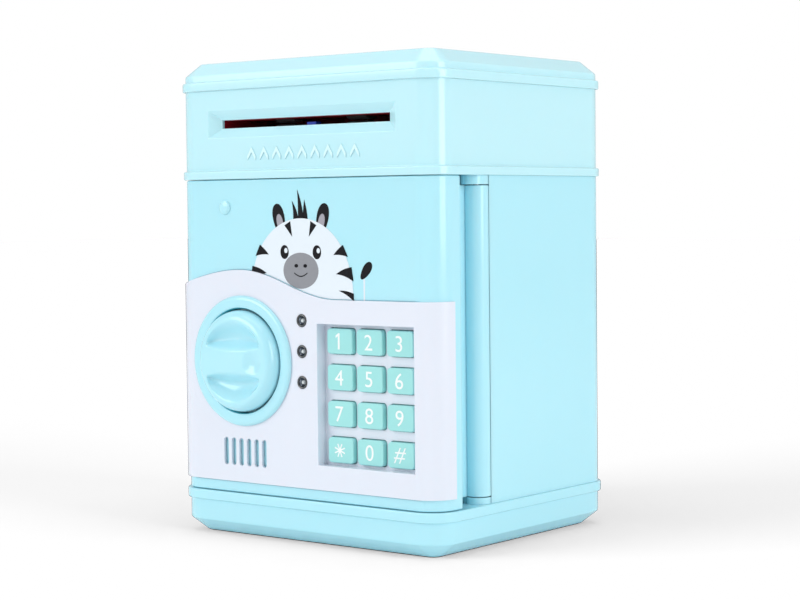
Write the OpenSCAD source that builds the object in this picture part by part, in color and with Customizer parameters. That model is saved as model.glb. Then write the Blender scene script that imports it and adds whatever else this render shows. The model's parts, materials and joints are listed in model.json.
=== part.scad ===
// Toy cash-machine savings bank: a casing with a banknote feeder in its head, a money
// chamber closed by a wrap-around door on a side hinge, and a twelve-key pad, a turning
// knob and an electric lock in the door. Millimetres; origin at the centre of the base,
// +Z up, front towards -Y.

/* [Casing] */
// Overall width, beads left out
bank_w = 132.8; // [126:0.2:160]
// Overall depth, beads left out
bank_d = 115.8; // [110:0.2:140]
// Overall height
bank_h = 190; // [188:1:230]
// Radius of the upright corners
corner_r = 10.5; // [10:0.5:12]
// Thickness of the casing walls
wall = 2.4; // [2:0.1:2.9]
// Height of the base tray, under the door
base_h = 17.7; // [17.7:0.1:22]
// Height of the head, from the door to the top of the roof
head_h = 47; // [46:0.5:56]
// How far the beads stand out of the walls
bead_out = 1.2; // [0.8:0.1:1.4]
// Height of the bead over the door
head_bead_h = 3.3; // [2.5:0.1:4]
// Height of the bead under the door
base_bead_h = 3.9; // [2.5:0.1:4.5]
// Height of the sloping edge under the base
base_slope_h = 5.5; // [4:0.5:6]
// Width of the sloping edge under the base
base_slope_w = 7; // [5:0.5:8]
// Height of the lip under the roof
roof_lip_h = 3.5; // [2.5:0.1:4]
// Height of the upright band over the lip
roof_band_h = 2.7; // [2:0.1:3.5]
// Height of the roof's sloping edge
roof_slope_h = 5.3; // [4:0.1:6]
// Width of the roof's sloping edge
roof_slope_w = 6.4; // [5:0.1:8]

/* [Door] */
// Depth of the door, front face to back edge
door_depth = 15.2; // [14.8:0.1:17]
// Thickness of the door's walls
door_wall = 2.2; // [1.8:0.1:2.4]
// Gap around the door
door_gap = 0.2; // [0.2:0.05:0.4]
// Gap behind the door's back edge
door_back_gap = 0.5; // [0.4:0.1:1]
// Radius of the hinge barrel
barrel_r = 4.9; // [4.2:0.1:5.9]
// Distance of the hinge pin from the front face
hinge_depth = 31.9; // [30:0.1:36]
// Radius of the hinge pins
pin_r = 1.2; // [1:0.1:1.5]
// Radial running clearance of pins, shafts and spindles
running = 0.06; // [0.03:0.01:0.1]
// Height of the knuckle over the barrel
top_knuckle_h = 3.5; // [3:0.1:5]
// Height of the knuckle under the barrel
low_knuckle_h = 2.6; // [2.2:0.1:5]

/* [Control panel] */
// How far the panel stands out of the door
panel_out = 1.2; // [0.8:0.1:1.6]
// Height of the panel's bottom edge over the door's bottom
panel_low = 4.7; // [4:0.1:6]
// Height of the panel, on its low right side
panel_h = 73.6; // [72:0.2:80]
// How much higher the hump over the knob is
panel_hump = 11; // [8:0.5:14]
// Width of the keypad window
window_w = 47.3; // [46:0.1:50]
// Height of the keypad window
window_h = 54.7; // [54:0.1:58]
// Depth of the keypad window, panel face to keypad plate
window_depth = 4.9; // [4.6:0.1:5.2]
// Width of a key
key_w = 12.6; // [10.5:0.1:13.2]
// Height of a key
key_h = 9.8; // [8:0.1:12]
// Spacing of the keys across
key_pitch_x = 14.7; // [14.4:0.1:15]
// Spacing of the keys up
key_pitch_z = 14; // [13.8:0.1:14.4]
// How far a key stands out of the keypad plate
key_out = 2; // [1.6:0.1:2.2]
// Travel of a key
key_travel = 1.2; // [0.6:0.1:1.3]
// Gap round a key in its hole
key_gap = 0.3; // [0.2:0.05:0.4]
// Radius of the status lights
led_r = 2.5; // [1.5:0.1:3]
// Spacing of the status lights
led_pitch = 12; // [10:0.1:13]

/* [Knob] */
// Outer radius of the ring round the knob
ring_r = 26; // [25.2:0.1:27]
// Radius of the well that the knob turns in
well_r = 21.1; // [20:0.1:22]
// How far the ring stands out of the panel
ring_out = 1.6; // [1:0.1:2.4]
// Gap round the knob in its well
knob_gap = 0.9; // [0.6:0.1:1.4]
// How far the knob stands out of the ring
knob_out = 6.2; // [4:0.1:8]
// Radius of the knob's spindle
spindle_r = 4; // [3:0.1:5]
// Length of the latch, spindle axis to tip
latch_len = 31; // [30:0.1:32]
// Width of the latch
latch_w = 8; // [6:0.1:10]

/* [Feeder] */
// Width of the banknote slot
slot_w = 86; // [80:0.5:87]
// Height of the banknote slot
slot_h = 3.3; // [2.5:0.1:4]
// Height of the slot's middle over the door's top
slot_up = 22; // [21:0.1:24]
// Depth of the slot's sloping surround
surround_depth = 3; // [2:0.1:3.4]
// Width of the slot's sloping surround
surround_w = 96; // [92:0.5:100]
// Height of the slot's sloping surround
surround_h = 11; // [9:0.5:13]
// Radius of the feed rollers
roller_r = 4.5; // [4.2:0.1:5]
// Width of a feed roller
roller_w = 10; // [6:0.5:14]
// Distance of the rollers from the middle
roller_x = 18.5; // [14:0.5:28]
// Radius of the roller shafts
shaft_r = 1.5; // [1.2:0.1:1.6]
// Module of the gears
gear_module = 0.6; // [0.55:0.01:0.62]
// Length of the coin slot
coin_slot_w = 30; // [27:0.5:34]
// Width of the coin slot
coin_slot_d = 4.8; // [4.6:0.1:6]

/* [Power] */
// Radius of a battery
battery_r = 7.1; // [6.5:0.05:7.1]
// Length of a battery
battery_len = 50.4; // [44:0.1:52]
// Thickness of the battery cover
cover_t = 1.8; // [1.4:0.1:1.8]
// Thickness of the base plate
base_plate_t = 3; // [2.6:0.1:3.4]
// Thickness of the base tray's top, the floor of the chamber
tray_top_t = 1.5; // [1.2:0.1:1.5]

/* [Hidden] */

$fn = 64;
tiny = 0.01;
fit = 0.1; // gap between fixed pieces that slot into each other
self_gap = 0.3; // gap between pieces that move past each other
screw_r = 1.25;
screw_head_r = 2.6;
screw_head_h = 1.8;
hole_gap = 0.3; // gap round a screw in a plate

casing_blue = [0.73, 0.94, 0.99];
panel_white = [0.93, 0.95, 0.99];
key_mint = [0.65, 0.93, 0.90];
feeder_red = [0.45, 0.05, 0.08];
steel = [0.75, 0.76, 0.78];
rubber_grey = [0.35, 0.35, 0.36];

front_y = -bank_d / 2;
side_x = bank_w / 2;
door_top = bank_h - head_h;
roof_z = bank_h - roof_slope_h - roof_band_h - roof_lip_h;

// Door and hinge
door_back_y = front_y + door_depth;
door_z0 = base_h + door_gap;
door_z1 = door_top - door_gap;
pivot = [side_x - barrel_r, front_y + hinge_depth];
web_t = 2.4; // wall that joins the door to its barrel
knuckle_forward = 2; // how far the top knuckle reaches in front of the pin
barrel_z0 = base_h + low_knuckle_h + self_gap;
barrel_z1 = door_top - top_knuckle_h - self_gap;
pin_depth = 9; // length of a pin inside the barrel
web_x0 = pivot[0] - barrel_r + 0.3;

// Body shell
body_front_y = door_back_y + door_back_gap;
frame_t = 2; // wall round the way into the chamber
frame_y = body_front_y + 1.7;
jamb = 8.4; // width of the left jamb, where the latch holds
pocket_gap = 0.2;
pocket_x = pivot[0] - barrel_r - 0.5;
hinge_wall_x = pocket_x - frame_t;
ledge_w = 4;
ledge_h = 2;
post_r = 3.4;
post_h = 12;
posts = [
    [-side_x + 8.4, frame_y + frame_t + 4],
    [hinge_wall_x - 4.4, frame_y + frame_t + 5],
    [-side_x + 12.4, -front_y - 11.9],
    [side_x - 12.4, -front_y - 11.9]
];
base_posts = [
    [-side_x + 17, frame_y + frame_t + 6],
    [hinge_wall_x - 5, frame_y + frame_t + 6],
    [-side_x + 17, -front_y - 16],
    [side_x - 17, -front_y - 16]
];
// wall that each base post is ribbed to
base_post_walls = [-side_x + wall / 2, hinge_wall_x + 1, -side_x + wall / 2, side_x - wall / 2];

// Control panel and what it holds
panel_y = front_y - panel_out;
panel_z0 = door_z0 + panel_low - door_gap;
panel_z1 = panel_z0 + panel_h;
panel_end_y = front_y + corner_r - 0.6; // where the panel's wrapped ends stop
knob_x = -side_x + 36.7;
knob_z = panel_z0 + 48.5;
hump_x = knob_x - 0.9;
hump_run = 48.6; // from the hump's top down to the panel's straight top
hump_fall = 62; // the same, towards the left
plate_y = panel_y + window_depth;
plate_t = 1.6;
window_x = side_x - 33.55;
window_z = panel_z0 + 36.95;
skirt_t = 1.2;
keypad_z = window_z - 0.3;
led_x = knob_x + 31.2;
led_z = knob_z + 4.8;
speaker_x = knob_x + 0.6;
speaker_z = panel_z0 + 12;
grille_slots = 6;
grille_pitch = 4.08;
grille_slot_w = 2.4;
grille_slot_h = 11;
slit_w = 0.9; // slits through the door behind the panel's slots
slit_shift = (grille_slot_w - slit_w) / 2 - 0.1;
speaker_r = 10.5;
speaker_t = 5;
inner_y = front_y + door_wall; // back of the door's front wall
cover_plate_t = 1.6;
cover_y = door_back_y - cover_plate_t;
flange_out = 0.8; // rim that keeps a key in its hole
key_flange_t = 1;
key_flange_y = plate_y + plate_t + self_gap;
mat_t = 0.9;
mat_y = key_flange_y + key_flange_t + key_travel + 0.4;
board_t = 1.6;
board_y = mat_y + mat_t + fit;
door_posts = [
    [-side_x + 8.4, door_z0 + 6.3], [hinge_wall_x - 1, door_z0 + 5.6],
    [-side_x + 8.4, door_z1 - 6.8], [hinge_wall_x - 1, door_z1 - 6.8]
];
stud = [knob_x - 9.6, door_z1 - 11];
stud_r = 2.9;

// Knob, lock and latch
ring_y = panel_y - ring_out;
well_floor_y = ring_y + 4.6;
cup_t = 1.6;
knob_r = well_r - knob_gap;
knob_back_y = well_floor_y - 0.5;
knob_front_y = ring_y - knob_out;
disc_y = well_floor_y + cup_t + 0.6;
disc_t = 3;
disc_r = 6.5;
lobe_r = 11.5;
lobe_half = 20; // half of the lobe's angle
latch_y = frame_y + frame_t + self_gap;
latch_t = 2;
plunger_r = 2;
plunger_z = knob_z + lobe_r + 0.9;
solenoid_z = plunger_z + 11.7;
solenoid_size = [12.6, 8.8, 18];

// Head and feeder
slot_z = door_top + slot_up;
deck_t = 2;
deck_z = door_top + deck_t;
slot_wall = 4.4; // thickness of the front wall round the slot
feeder_y0 = front_y + slot_wall + 0.3;
roller_y = front_y + 16;
nip = 0.3; // gap between the rollers
feed_axis = [roller_y, slot_z - roller_r - nip / 2];
pinch_axis = [roller_y, slot_z + roller_r + nip / 2];
side_plate_t = 2;
channel_x = slot_w / 2 + 0.7;
plate_x1 = channel_x + side_plate_t;
guide_t = 1;
guide_gap = 1.7; // from the slot's middle to each guide
guide_len = 17.6;
feeder_top = slot_z + 8;
plane_a = [plate_x1 + 0.5, plate_x1 + 2.7]; // pinion and the large idler wheel
plane_b = [plate_x1 + 3, plate_x1 + 5.1]; // small idler wheel and feed gear
bracket_x = plate_x1 + 5.4;
bracket_t = 1.2;
pinion_teeth = 12;
idler_large = 30;
idler_small = 12;
feed_teeth = 26;
idler_dir = -10; // direction from the feed shaft to the idler, degrees above +Y
pinion_dir = -5;
idler_axis = feed_axis + gear_module * (feed_teeth + idler_small) / 2 * [cos(idler_dir), sin(idler_dir)];
motor_axis = idler_axis + gear_module * (idler_large + pinion_teeth) / 2 * [cos(pinion_dir), sin(pinion_dir)];
idler_axle_r = 1.2;
motor_shaft_r = 1;
motor_r = 6;
motor_len = 10.8;
drop_y0 = roller_y + 9; // front of the opening that notes fall through
drop_len = 22;
drop_y1 = drop_y0 + drop_len;
deflector_t = 1.6; // plate behind the opening that turns notes down
coin_y = 18;
chute_wall = 1.5;
chute_w = coin_slot_w + 1;
chute_d = coin_slot_d + 0.4;
mark_pitch = 6.6;
mark_count = 9;

// Base
bay_w = battery_len + 4.6;
bay_d = 6 * battery_r + 1.8;
bay_wall = 1.4;
plate_inset = base_slope_w + 3;
battery_z = cover_t + 0.05 + battery_r;
cover_w = bay_w + 7;
cover_d = bay_d + 3.6;
cover_screw_x = bay_w / 2 + 9;

// Key faces, in rows from the top
key_rows = [["1", "2", "3"], ["4", "5", "6"], ["7", "8", "9"], ["star", "0", "hash"]];

// ---------------------------------------------------------------- helpers

module rounded_rect(w, d, r) {
    for (sx = [-1, 1], sy = [-1, 1])
        translate([sx * (w / 2 - r), sy * (d / 2 - r)]) circle(r);
    square([w - 2 * r, d], center = true);
    square([w, d - 2 * r], center = true);
}

// The casing's outline, moved out by a distance (in, when negative)
module outline(out = 0) {
    rounded_rect(bank_w + 2 * out, bank_d + 2 * out, max(corner_r + out, 1));
}

module slab(z0, z1, out = 0) {
    translate([0, 0, z0]) linear_extrude(z1 - z0) outline(out);
}

// Extrudes a shape drawn as (x, z) from y0 back to y1
module along_y(y0, y1) {
    translate([0, y1, 0]) rotate([90, 0, 0]) linear_extrude(y1 - y0) children();
}

// Extrudes a shape drawn as (y, z) from x0 to x1
module along_x(x0, x1) {
    translate([x0, 0, 0]) rotate([90, 0, 90]) linear_extrude(x1 - x0) children();
}

// Turns a profile of (radius, distance in front of y = 0) about an axis along Y
module lathe_y(x, z) {
    translate([x, 0, z]) rotate([90, 0, 0]) rotate_extrude($fn = 96) children();
}

module box(low, high) {
    translate(low) cube(high - low);
}

module rod_y(x, z, r, y0, y1) {
    along_y(y0, y1) translate([x, z]) circle(r);
}

module rod_x(axis, r, x0, x1) {
    along_x(x0, x1) translate(axis) circle(r);
}

module rod_z(p, r, z0, z1) {
    translate([p[0], p[1], z0]) cylinder(r = r, h = z1 - z0);
}

// A pan-head screw: head at the origin's side, shaft along +Z
module screw(shaft_len, head_r = screw_head_r, shaft_r = screw_r) {
    difference() {
        union() {
            cylinder(r = head_r, h = screw_head_h);
            cylinder(r = shaft_r, h = screw_head_h + shaft_len);
        }
        for (a = [0, 90]) rotate(a)
            translate([-head_r * 0.7, -0.3, -tiny]) cube([head_r * 1.4, 0.6, 0.8]);
    }
}

// Involute of the base circle, as the angle it has unwound at a pressure angle
function unwound(a) = tan(a) * 180 / PI - a;

function flank(teeth, r) =
    let (pitch_r = gear_module * teeth / 2, base_r = pitch_r * cos(20), slack = 0.05)
    90 / teeth - slack / pitch_r * 180 / PI + unwound(20) - unwound(acos(min(1, base_r / r)));

function tooth(teeth) =
    let (
        pitch_r = gear_module * teeth / 2,
        root_r = pitch_r - 1.1 * gear_module,
        tip_r = pitch_r + 0.85 * gear_module,
        start_r = max(root_r, pitch_r * cos(20)),
        steps = 4,
        radii = concat([root_r], [for (i = [0:steps]) start_r + (tip_r - start_r) * i / steps])
    )
    concat(
        [for (r = radii) [r, -flank(teeth, max(r, start_r))]],
        [for (i = [len(radii) - 1:-1:0]) [radii[i], flank(teeth, max(radii[i], start_r))]]
    );

// A gear with one tooth centred on the +X side
module gear_outline(teeth) {
    polygon([
        for (i = [0:teeth - 1], p = tooth(teeth))
            p[0] * [cos(p[1] + 360 * i / teeth), sin(p[1] + 360 * i / teeth)]
    ]);
}

module wheel(axis, teeth, planes, phase) {
    along_x(-planes[1], -planes[0]) translate(axis) rotate(phase) gear_outline(teeth);
}

// ---------------------------------------------------------------- casing

module roof_cap() {
    band_z = roof_z + roof_lip_h;
    slope_z = band_z + roof_band_h;
    color(casing_blue) {
        difference() {
            union() {
                slab(roof_z, band_z, bead_out);
                slab(band_z - tiny, slope_z);
                hull() {
                    slab(slope_z - tiny, slope_z);
                    slab(bank_h - tiny, bank_h, -roof_slope_w);
                }
            }
            slab(roof_z - 1, slope_z - 1.2, -wall);
            slab(slope_z - 2, bank_h - wall, -wall - roof_slope_w);
            box([-coin_slot_w / 2, coin_y - coin_slot_d / 2, bank_h - wall - 1],
                [coin_slot_w / 2, coin_y + coin_slot_d / 2, bank_h + 1]);
        }
        // snap tabs that reach down inside the upper casing
        for (sx = [-1, 1], y = [-20, 30])
            translate([sx * (side_x - wall - fit - 0.8), y, roof_z + 1]) cube([1.6, 12, 14], center = true);
        for (sx = [-1, 1], y = [-20, 30])
            translate([sx * (side_x - wall - 0.8), y, roof_z + 5.5]) cube([2, 12, 3], center = true);
    }
}

module upper_casing() {
    color(casing_blue)
    difference() {
        union() {
            difference() {
                union() {
                    slab(door_top, roof_z);
                    slab(door_top, door_top + head_bead_h, bead_out);
                }
                slab(door_top - 1, roof_z + 1, -wall);
            }
            // thicker wall round the slot
            box([-surround_w / 2 - 0.4, front_y + tiny, slot_z - surround_h / 2 - 1.5],
                [surround_w / 2 + 0.4, front_y + slot_wall, slot_z + surround_h / 2 + 1.5]);
            for (p = posts) difference() {
                union() {
                    rod_z(p, post_r, deck_z, deck_z + post_h);
                    // rib from the post to the nearer side wall
                    box([min(p[0], sign(p[0]) * (side_x - wall + tiny)), p[1] - 0.8, deck_z],
                        [max(p[0], sign(p[0]) * (side_x - wall + tiny)), p[1] + 0.8, deck_z + post_h]);
                }
                rod_z(p, screw_r, deck_z - 1, deck_z + post_h - 2);
            }
        }
        box([-slot_w / 2, front_y - 1, slot_z - slot_h / 2], [slot_w / 2, front_y + slot_wall + 1, slot_z + slot_h / 2]);
        hull() {
            translate([0, front_y - tiny, slot_z]) cube([surround_w, tiny, surround_h], center = true);
            translate([0, front_y + surround_depth, slot_z]) cube([slot_w + 0.6, tiny, slot_h + 0.6], center = true);
        }
    }
}

// Plain raised arrowheads that show where a note goes in
module slot_marks() {
    color(panel_white)
    along_y(front_y - 0.4, front_y)
    for (i = [0:mark_count - 1])
        translate([2 + (i - (mark_count - 1) / 2) * mark_pitch, door_top + 9.8])
            polygon([[-2.2, -2.6], [0, 0.6], [2.2, -2.6], [2.2, -0.8], [0, 2.8], [-2.2, -0.8]]);
}

module mechanism_deck() {
    color(casing_blue)
    difference() {
        slab(door_top, deck_z, -wall - fit);
        box([-slot_w / 2 - 0.5, drop_y0, door_top - 1], [slot_w / 2 + 0.5, drop_y1, deck_z + 1]);
        box([-chute_w / 2 - chute_wall - fit, coin_y - chute_d / 2 - chute_wall - fit, door_top - 1],
            [chute_w / 2 + chute_wall + fit, coin_y + chute_d / 2 + chute_wall + fit, deck_z + 1]);
        for (p = posts) rod_z(p, screw_r + hole_gap, door_top - 1, deck_z + 1);
    }
}

// The middle of the casing in plan: three walls, the left jamb and the hinge pocket
module shell_plan() {
    difference() {
        union() {
            difference() {
                outline();
                outline(-wall);
            }
            translate([hinge_wall_x, frame_y])
                square([side_x - wall / 2 - hinge_wall_x, pivot[1] + barrel_r + 2.6 - frame_y]);
            translate([-side_x + wall / 2, frame_y]) square([jamb + wall / 2, frame_t]);
            translate([hinge_wall_x - 4, frame_y]) square([5, frame_t]);
        }
        translate([-side_x - 5, front_y - 5]) square([bank_w + 10, body_front_y - front_y + 5]);
        translate([pocket_x, front_y - 5]) square([side_x, pivot[1] - front_y + 5]);
        translate(pivot) circle(barrel_r + pocket_gap);
    }
}

module knuckle_plan(forward) {
    difference() {
        union() {
            translate(pivot) circle(barrel_r);
            if (forward > 0) {
                translate([pivot[0], pivot[1] - forward]) circle(barrel_r);
                translate([pivot[0] - barrel_r, pivot[1] - forward]) square([2 * barrel_r, forward]);
            }
            translate([hinge_wall_x + 1, pivot[1] - 3]) square([pivot[0] - hinge_wall_x - 1, 6]);
            translate([pivot[0] - 2, pivot[1]]) square([4, barrel_r + 1]);
        }
        translate(pivot) circle(pin_r);
    }
}

module body_shell() {
    post_ends = [base_h, base_h + post_h];
    color(casing_blue) {
        difference() {
            union() {
                translate([0, 0, base_h]) linear_extrude(door_top - base_h) shell_plan();
                // rails over and under the way into the chamber
                for (z = [[base_h, base_h + 6], [door_top - 7, door_top]])
                    box([-side_x + wall / 2, frame_y, z[0]], [hinge_wall_x + 1, frame_y + frame_t, z[1]]);
                // ledge that carries the deck
                intersection() {
                    difference() {
                        slab(door_top - ledge_h, door_top, -wall / 2);
                        slab(door_top - ledge_h - 1, door_top + 1, -wall - ledge_w);
                    }
                    box([-side_x, frame_y + 1, base_h], [hinge_wall_x + 1, -front_y, door_top + 1]);
                }
                intersection() {
                    difference() {
                        slab(door_top - ledge_h, door_top, -wall / 2);
                        slab(door_top - ledge_h - 1, door_top + 1, -wall - ledge_w);
                    }
                    box([0, pivot[1] + barrel_r + 1, base_h], [side_x, -front_y, door_top + 1]);
                }
                for (i = [0:3]) let (p = base_posts[i], w = base_post_walls[i]) {
                    rod_z(p, post_r, post_ends[0], post_ends[1]);
                    box([min(p[0], w), p[1] - 0.8, post_ends[0]], [max(p[0], w), p[1] + 0.8, post_ends[1]]);
                }
            }
            for (p = base_posts) rod_z(p, screw_r, base_h - 1, post_ends[1] - 2);
            for (p = posts) rod_z(p, screw_head_r + hole_gap, door_top - ledge_h - 1, door_top + 1);
        }
        translate([0, 0, door_top - top_knuckle_h]) linear_extrude(top_knuckle_h) knuckle_plan(knuckle_forward);
        translate([0, 0, base_h]) linear_extrude(low_knuckle_h) knuckle_plan(0);
    }
}

module base_tray() {
    bead_z = base_h - base_bead_h;
    color(casing_blue)
    difference() {
        union() {
            hull() {
                slab(0, tiny, -base_slope_w);
                slab(base_slope_h - tiny, base_slope_h);
            }
            slab(base_slope_h - tiny, base_h);
            slab(bead_z, base_h, bead_out);
        }
        slab(-1, base_plate_t, -plate_inset);
        slab(base_plate_t - tiny, base_slope_h + 1, -plate_inset - 2);
        difference() {
            slab(base_slope_h + 1 - tiny, base_h - tray_top_t, -wall);
            for (p = base_posts) rod_z(p, post_r + 1, base_slope_h, base_h);
        }
        for (p = base_posts) rod_z(p, screw_r + hole_gap, -1, base_h + 1);
    }
}

module base_plate() {
    color(casing_blue)
    difference() {
        union() {
            slab(0, base_plate_t, -plate_inset - fit);
            box([-bay_w / 2 - bay_wall, -bay_d / 2 - bay_wall, base_plate_t - tiny],
                [bay_w / 2 + bay_wall, bay_d / 2 + bay_wall, base_h - tray_top_t - fit]);
            rod_z([cover_screw_x, 0], 3.6, base_plate_t - tiny, base_plate_t + 6);
        }
        box([-bay_w / 2, -bay_d / 2, -1], [bay_w / 2, bay_d / 2, base_h]);
        box([-cover_w / 2 - fit, -cover_d / 2 - fit, -1], [cover_screw_x + 4 + fit, cover_d / 2 + fit, cover_t]);
        rod_z([cover_screw_x, 0], screw_r, -1, base_plate_t + 5);
        for (p = base_posts) {
            rod_z(p, screw_r + hole_gap, -1, base_h);
            rod_z(p, screw_head_r + hole_gap, -1, screw_head_h + 0.2);
        }
    }
}

module battery_cover() {
    color(casing_blue)
    difference() {
        box([-cover_w / 2, -cover_d / 2, 0], [cover_screw_x + 4, cover_d / 2, cover_t]);
        rod_z([cover_screw_x, 0], screw_r + hole_gap, -1, cover_t + 1);
        // finger ribs
        for (i = [-2:2]) box([cover_w / 2 - 6 + i, -8, -1], [cover_w / 2 - 5.6 + i, 8, 0.4]);
        rod_z([cover_screw_x, 0], screw_head_r + hole_gap, -1, cover_t - 0.8);
    }
}

module battery_screw() {
    color(steel) translate([cover_screw_x, 0, 0.1]) scale([1, 1, 1]) union() {
        cylinder(r = screw_head_r, h = cover_t - 0.9);
        cylinder(r = screw_r - 0.02, h = cover_t + 3.4);
    }
}

module batteries() {
    color("dimgray")
    for (i = [-1:1]) {
        turn = i == 0 ? -1 : 1;
        y = i * (2 * battery_r + 0.6);
        rod_x([y, battery_z], battery_r, -battery_len / 2 + 0.5, battery_len / 2 - 1.2);
        rod_x([y, battery_z], 2.7, turn > 0 ? battery_len / 2 - 1.3 : -battery_len / 2 + 0.5 - 1.2,
            turn > 0 ? battery_len / 2 : -battery_len / 2 + 0.6);
    }
}

module battery_contacts() {
    color(steel)
    for (i = [-1:1], side = [-1, 1])
        let (y = i * (2 * battery_r + 0.6), x = side * bay_w / 2) {
            box([min(x, x - side * 0.4), y - 5, cover_t + 1.5], [max(x, x - side * 0.4), y + 5, base_h - tray_top_t - 1.5]);
            rod_x([y, battery_z], 2, min(x - side * 0.3, x - side * 0.9), max(x - side * 0.3, x - side * 0.9));
        }
}

// ---------------------------------------------------------------- feeder

module guide(z0) {
    difference() {
        box([-channel_x - 0.5, feeder_y0, z0], [channel_x + 0.5, feeder_y0 + guide_len, z0 + guide_t]);
        for (sx = [-1, 1])
            box([sx * roller_x - roller_w / 2 - 1, roller_y - roller_r - 0.6, z0 - 1],
                [sx * roller_x + roller_w / 2 + 1, roller_y + roller_r + 0.6, z0 + guide_t + 1]);
    }
}

module side_plate(x, y1) {
    difference() {
        box([x, feeder_y0, deck_z], [x + side_plate_t, y1, feeder_top]);
        rod_x(feed_axis, shaft_r + running, x - 1, x + side_plate_t + 1);
        rod_x(pinch_axis, shaft_r + running, x - 1, x + side_plate_t + 1);
    }
}

module feeder_frame() {
    bracket_y = [idler_axis[0] - 5, motor_axis[0] + motor_r + 1.5];
    feet = [[channel_x - 6, feeder_y0 + 4], [-channel_x + 6, feeder_y0 + 4]];
    color(feeder_red)
    difference() {
        union() {
            side_plate(-plate_x1, max(bracket_y[1], drop_y1 + deflector_t));
            side_plate(channel_x, drop_y1 + deflector_t);
            box([-channel_x - 0.5, drop_y1, deck_z], [channel_x + 0.5, drop_y1 + deflector_t, feeder_top]);
            guide(slot_z - guide_gap - guide_t);
            guide(slot_z + guide_gap - 0.2);
            box([-bracket_x - bracket_t, bracket_y[0], deck_z], [-bracket_x, bracket_y[1], feeder_top - 4]);
            box([-bracket_x - bracket_t, bracket_y[0], deck_z], [-channel_x, bracket_y[1], deck_z + 1.2]);
            // front foot, screwed to the deck
            box([-channel_x - 0.5, feeder_y0, deck_z], [channel_x + 0.5, feeder_y0 + 8, deck_z + 1.6]);
        }
        // clearance for the posts that the head's screws go into
        for (p = posts) rod_z(p, post_r + fit, deck_z - 1, deck_z + post_h + fit);
        rod_x(motor_axis, motor_shaft_r + 0.4, -bracket_x - bracket_t - 1, -channel_x + 1);
        rod_x(idler_axis, idler_axle_r, -bracket_x - bracket_t - 1, -channel_x + 1);
        for (p = feet) rod_z(p, screw_r, deck_z - 1, deck_z + 3);
    }
}

module feeder_screws() {
    feet = [[channel_x - 6, feeder_y0 + 4], [-channel_x + 6, feeder_y0 + 4]];
    color(steel)
    for (p = feet) translate([p[0], p[1], deck_z + 1.6 + screw_head_h]) mirror([0, 0, 1]) screw(1.5);
}

module bill_sensor() {
    color("royalblue")
    box([-0.5, feeder_y0 + 1.2, slot_z - guide_gap], [4, feeder_y0 + 4.2, slot_z - guide_gap + 1.3]);
}

module feed_motor() {
    color(steel) {
        rod_x(motor_axis, motor_r, -bracket_x - bracket_t - motor_len, -bracket_x - bracket_t);
    }
}

module motor_pinion() {
    color("gold") {
        wheel(motor_axis, pinion_teeth, plane_a, pinion_dir + 180 + 180 / pinion_teeth);
        rod_x(motor_axis, motor_shaft_r, -bracket_x - bracket_t + 0.05, -plane_a[0]);
    }
}

module idler_axle() {
    color(steel) rod_x(idler_axis, idler_axle_r, -bracket_x - bracket_t, -channel_x);
}

module idler_gear() {
    color("white")
    difference() {
        union() {
            wheel(idler_axis, idler_large, plane_a, pinion_dir);
            wheel(idler_axis, idler_small, plane_b, idler_dir + 180 + 180 / idler_small);
            rod_x(idler_axis, 2.4, -plane_b[1], -plane_a[0]);
        }
        rod_x(idler_axis, idler_axle_r + running, -plane_b[1] - 1, -plane_a[0] + 1);
    }
}

module feed_gear() {
    color("white")
    difference() {
        wheel(feed_axis, feed_teeth, plane_b, idler_dir);
        rod_x(feed_axis, shaft_r, -plane_b[1] - 1, -plane_b[0] + 1);
    }
}

module feed_shaft() {
    color(steel) rod_x(feed_axis, shaft_r, -plane_b[1], plate_x1 + 0.6);
}

module pinch_shaft() {
    color(steel) rod_x(pinch_axis, shaft_r, -plate_x1 - 0.6, plate_x1 + 0.6);
}

module roller_pair(axis) {
    color(rubber_grey)
    for (sx = [-1, 1]) difference() {
        rod_x(axis, roller_r, sx * roller_x - roller_w / 2, sx * roller_x + roller_w / 2);
        rod_x(axis, shaft_r, sx * roller_x - roller_w / 2 - 1, sx * roller_x + roller_w / 2 + 1);
    }
}

module feed_rollers() { roller_pair(feed_axis); }

module pinch_rollers() { roller_pair(pinch_axis); }

module coin_chute() {
    color(casing_blue)
    difference() {
        union() {
            box([-chute_w / 2 - chute_wall, coin_y - chute_d / 2 - chute_wall, door_top - 2],
                [chute_w / 2 + chute_wall, coin_y + chute_d / 2 + chute_wall, bank_h - wall]);
            box([-chute_w / 2 - 5, coin_y - chute_d / 2 - 5, deck_z], [chute_w / 2 + 5, coin_y + chute_d / 2 + 5, deck_z + 1.2]);
        }
        box([-chute_w / 2, coin_y - chute_d / 2, door_top - 3], [chute_w / 2, coin_y + chute_d / 2, bank_h]);
    }
}

// ---------------------------------------------------------------- pins and screws

module hinge_pins() {
    color(steel) {
        rod_z(pivot, pin_r, barrel_z1 - pin_depth, door_top);
        rod_z(pivot, pin_r, base_h, barrel_z0 + pin_depth);
    }
}

module head_screws() {
    color(steel)
    for (p = posts) translate([p[0], p[1], door_top - screw_head_h]) screw(deck_t + post_h - 3);
}

module base_screws() {
    color(steel)
    for (p = base_posts) translate([p[0], p[1], 0.2]) screw(base_h + post_h - 5);
}

// ---------------------------------------------------------------- door

module door_region(back) {
    translate([-side_x - 5, front_y - 5]) square([bank_w + 10, back - front_y + 5]);
}

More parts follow.
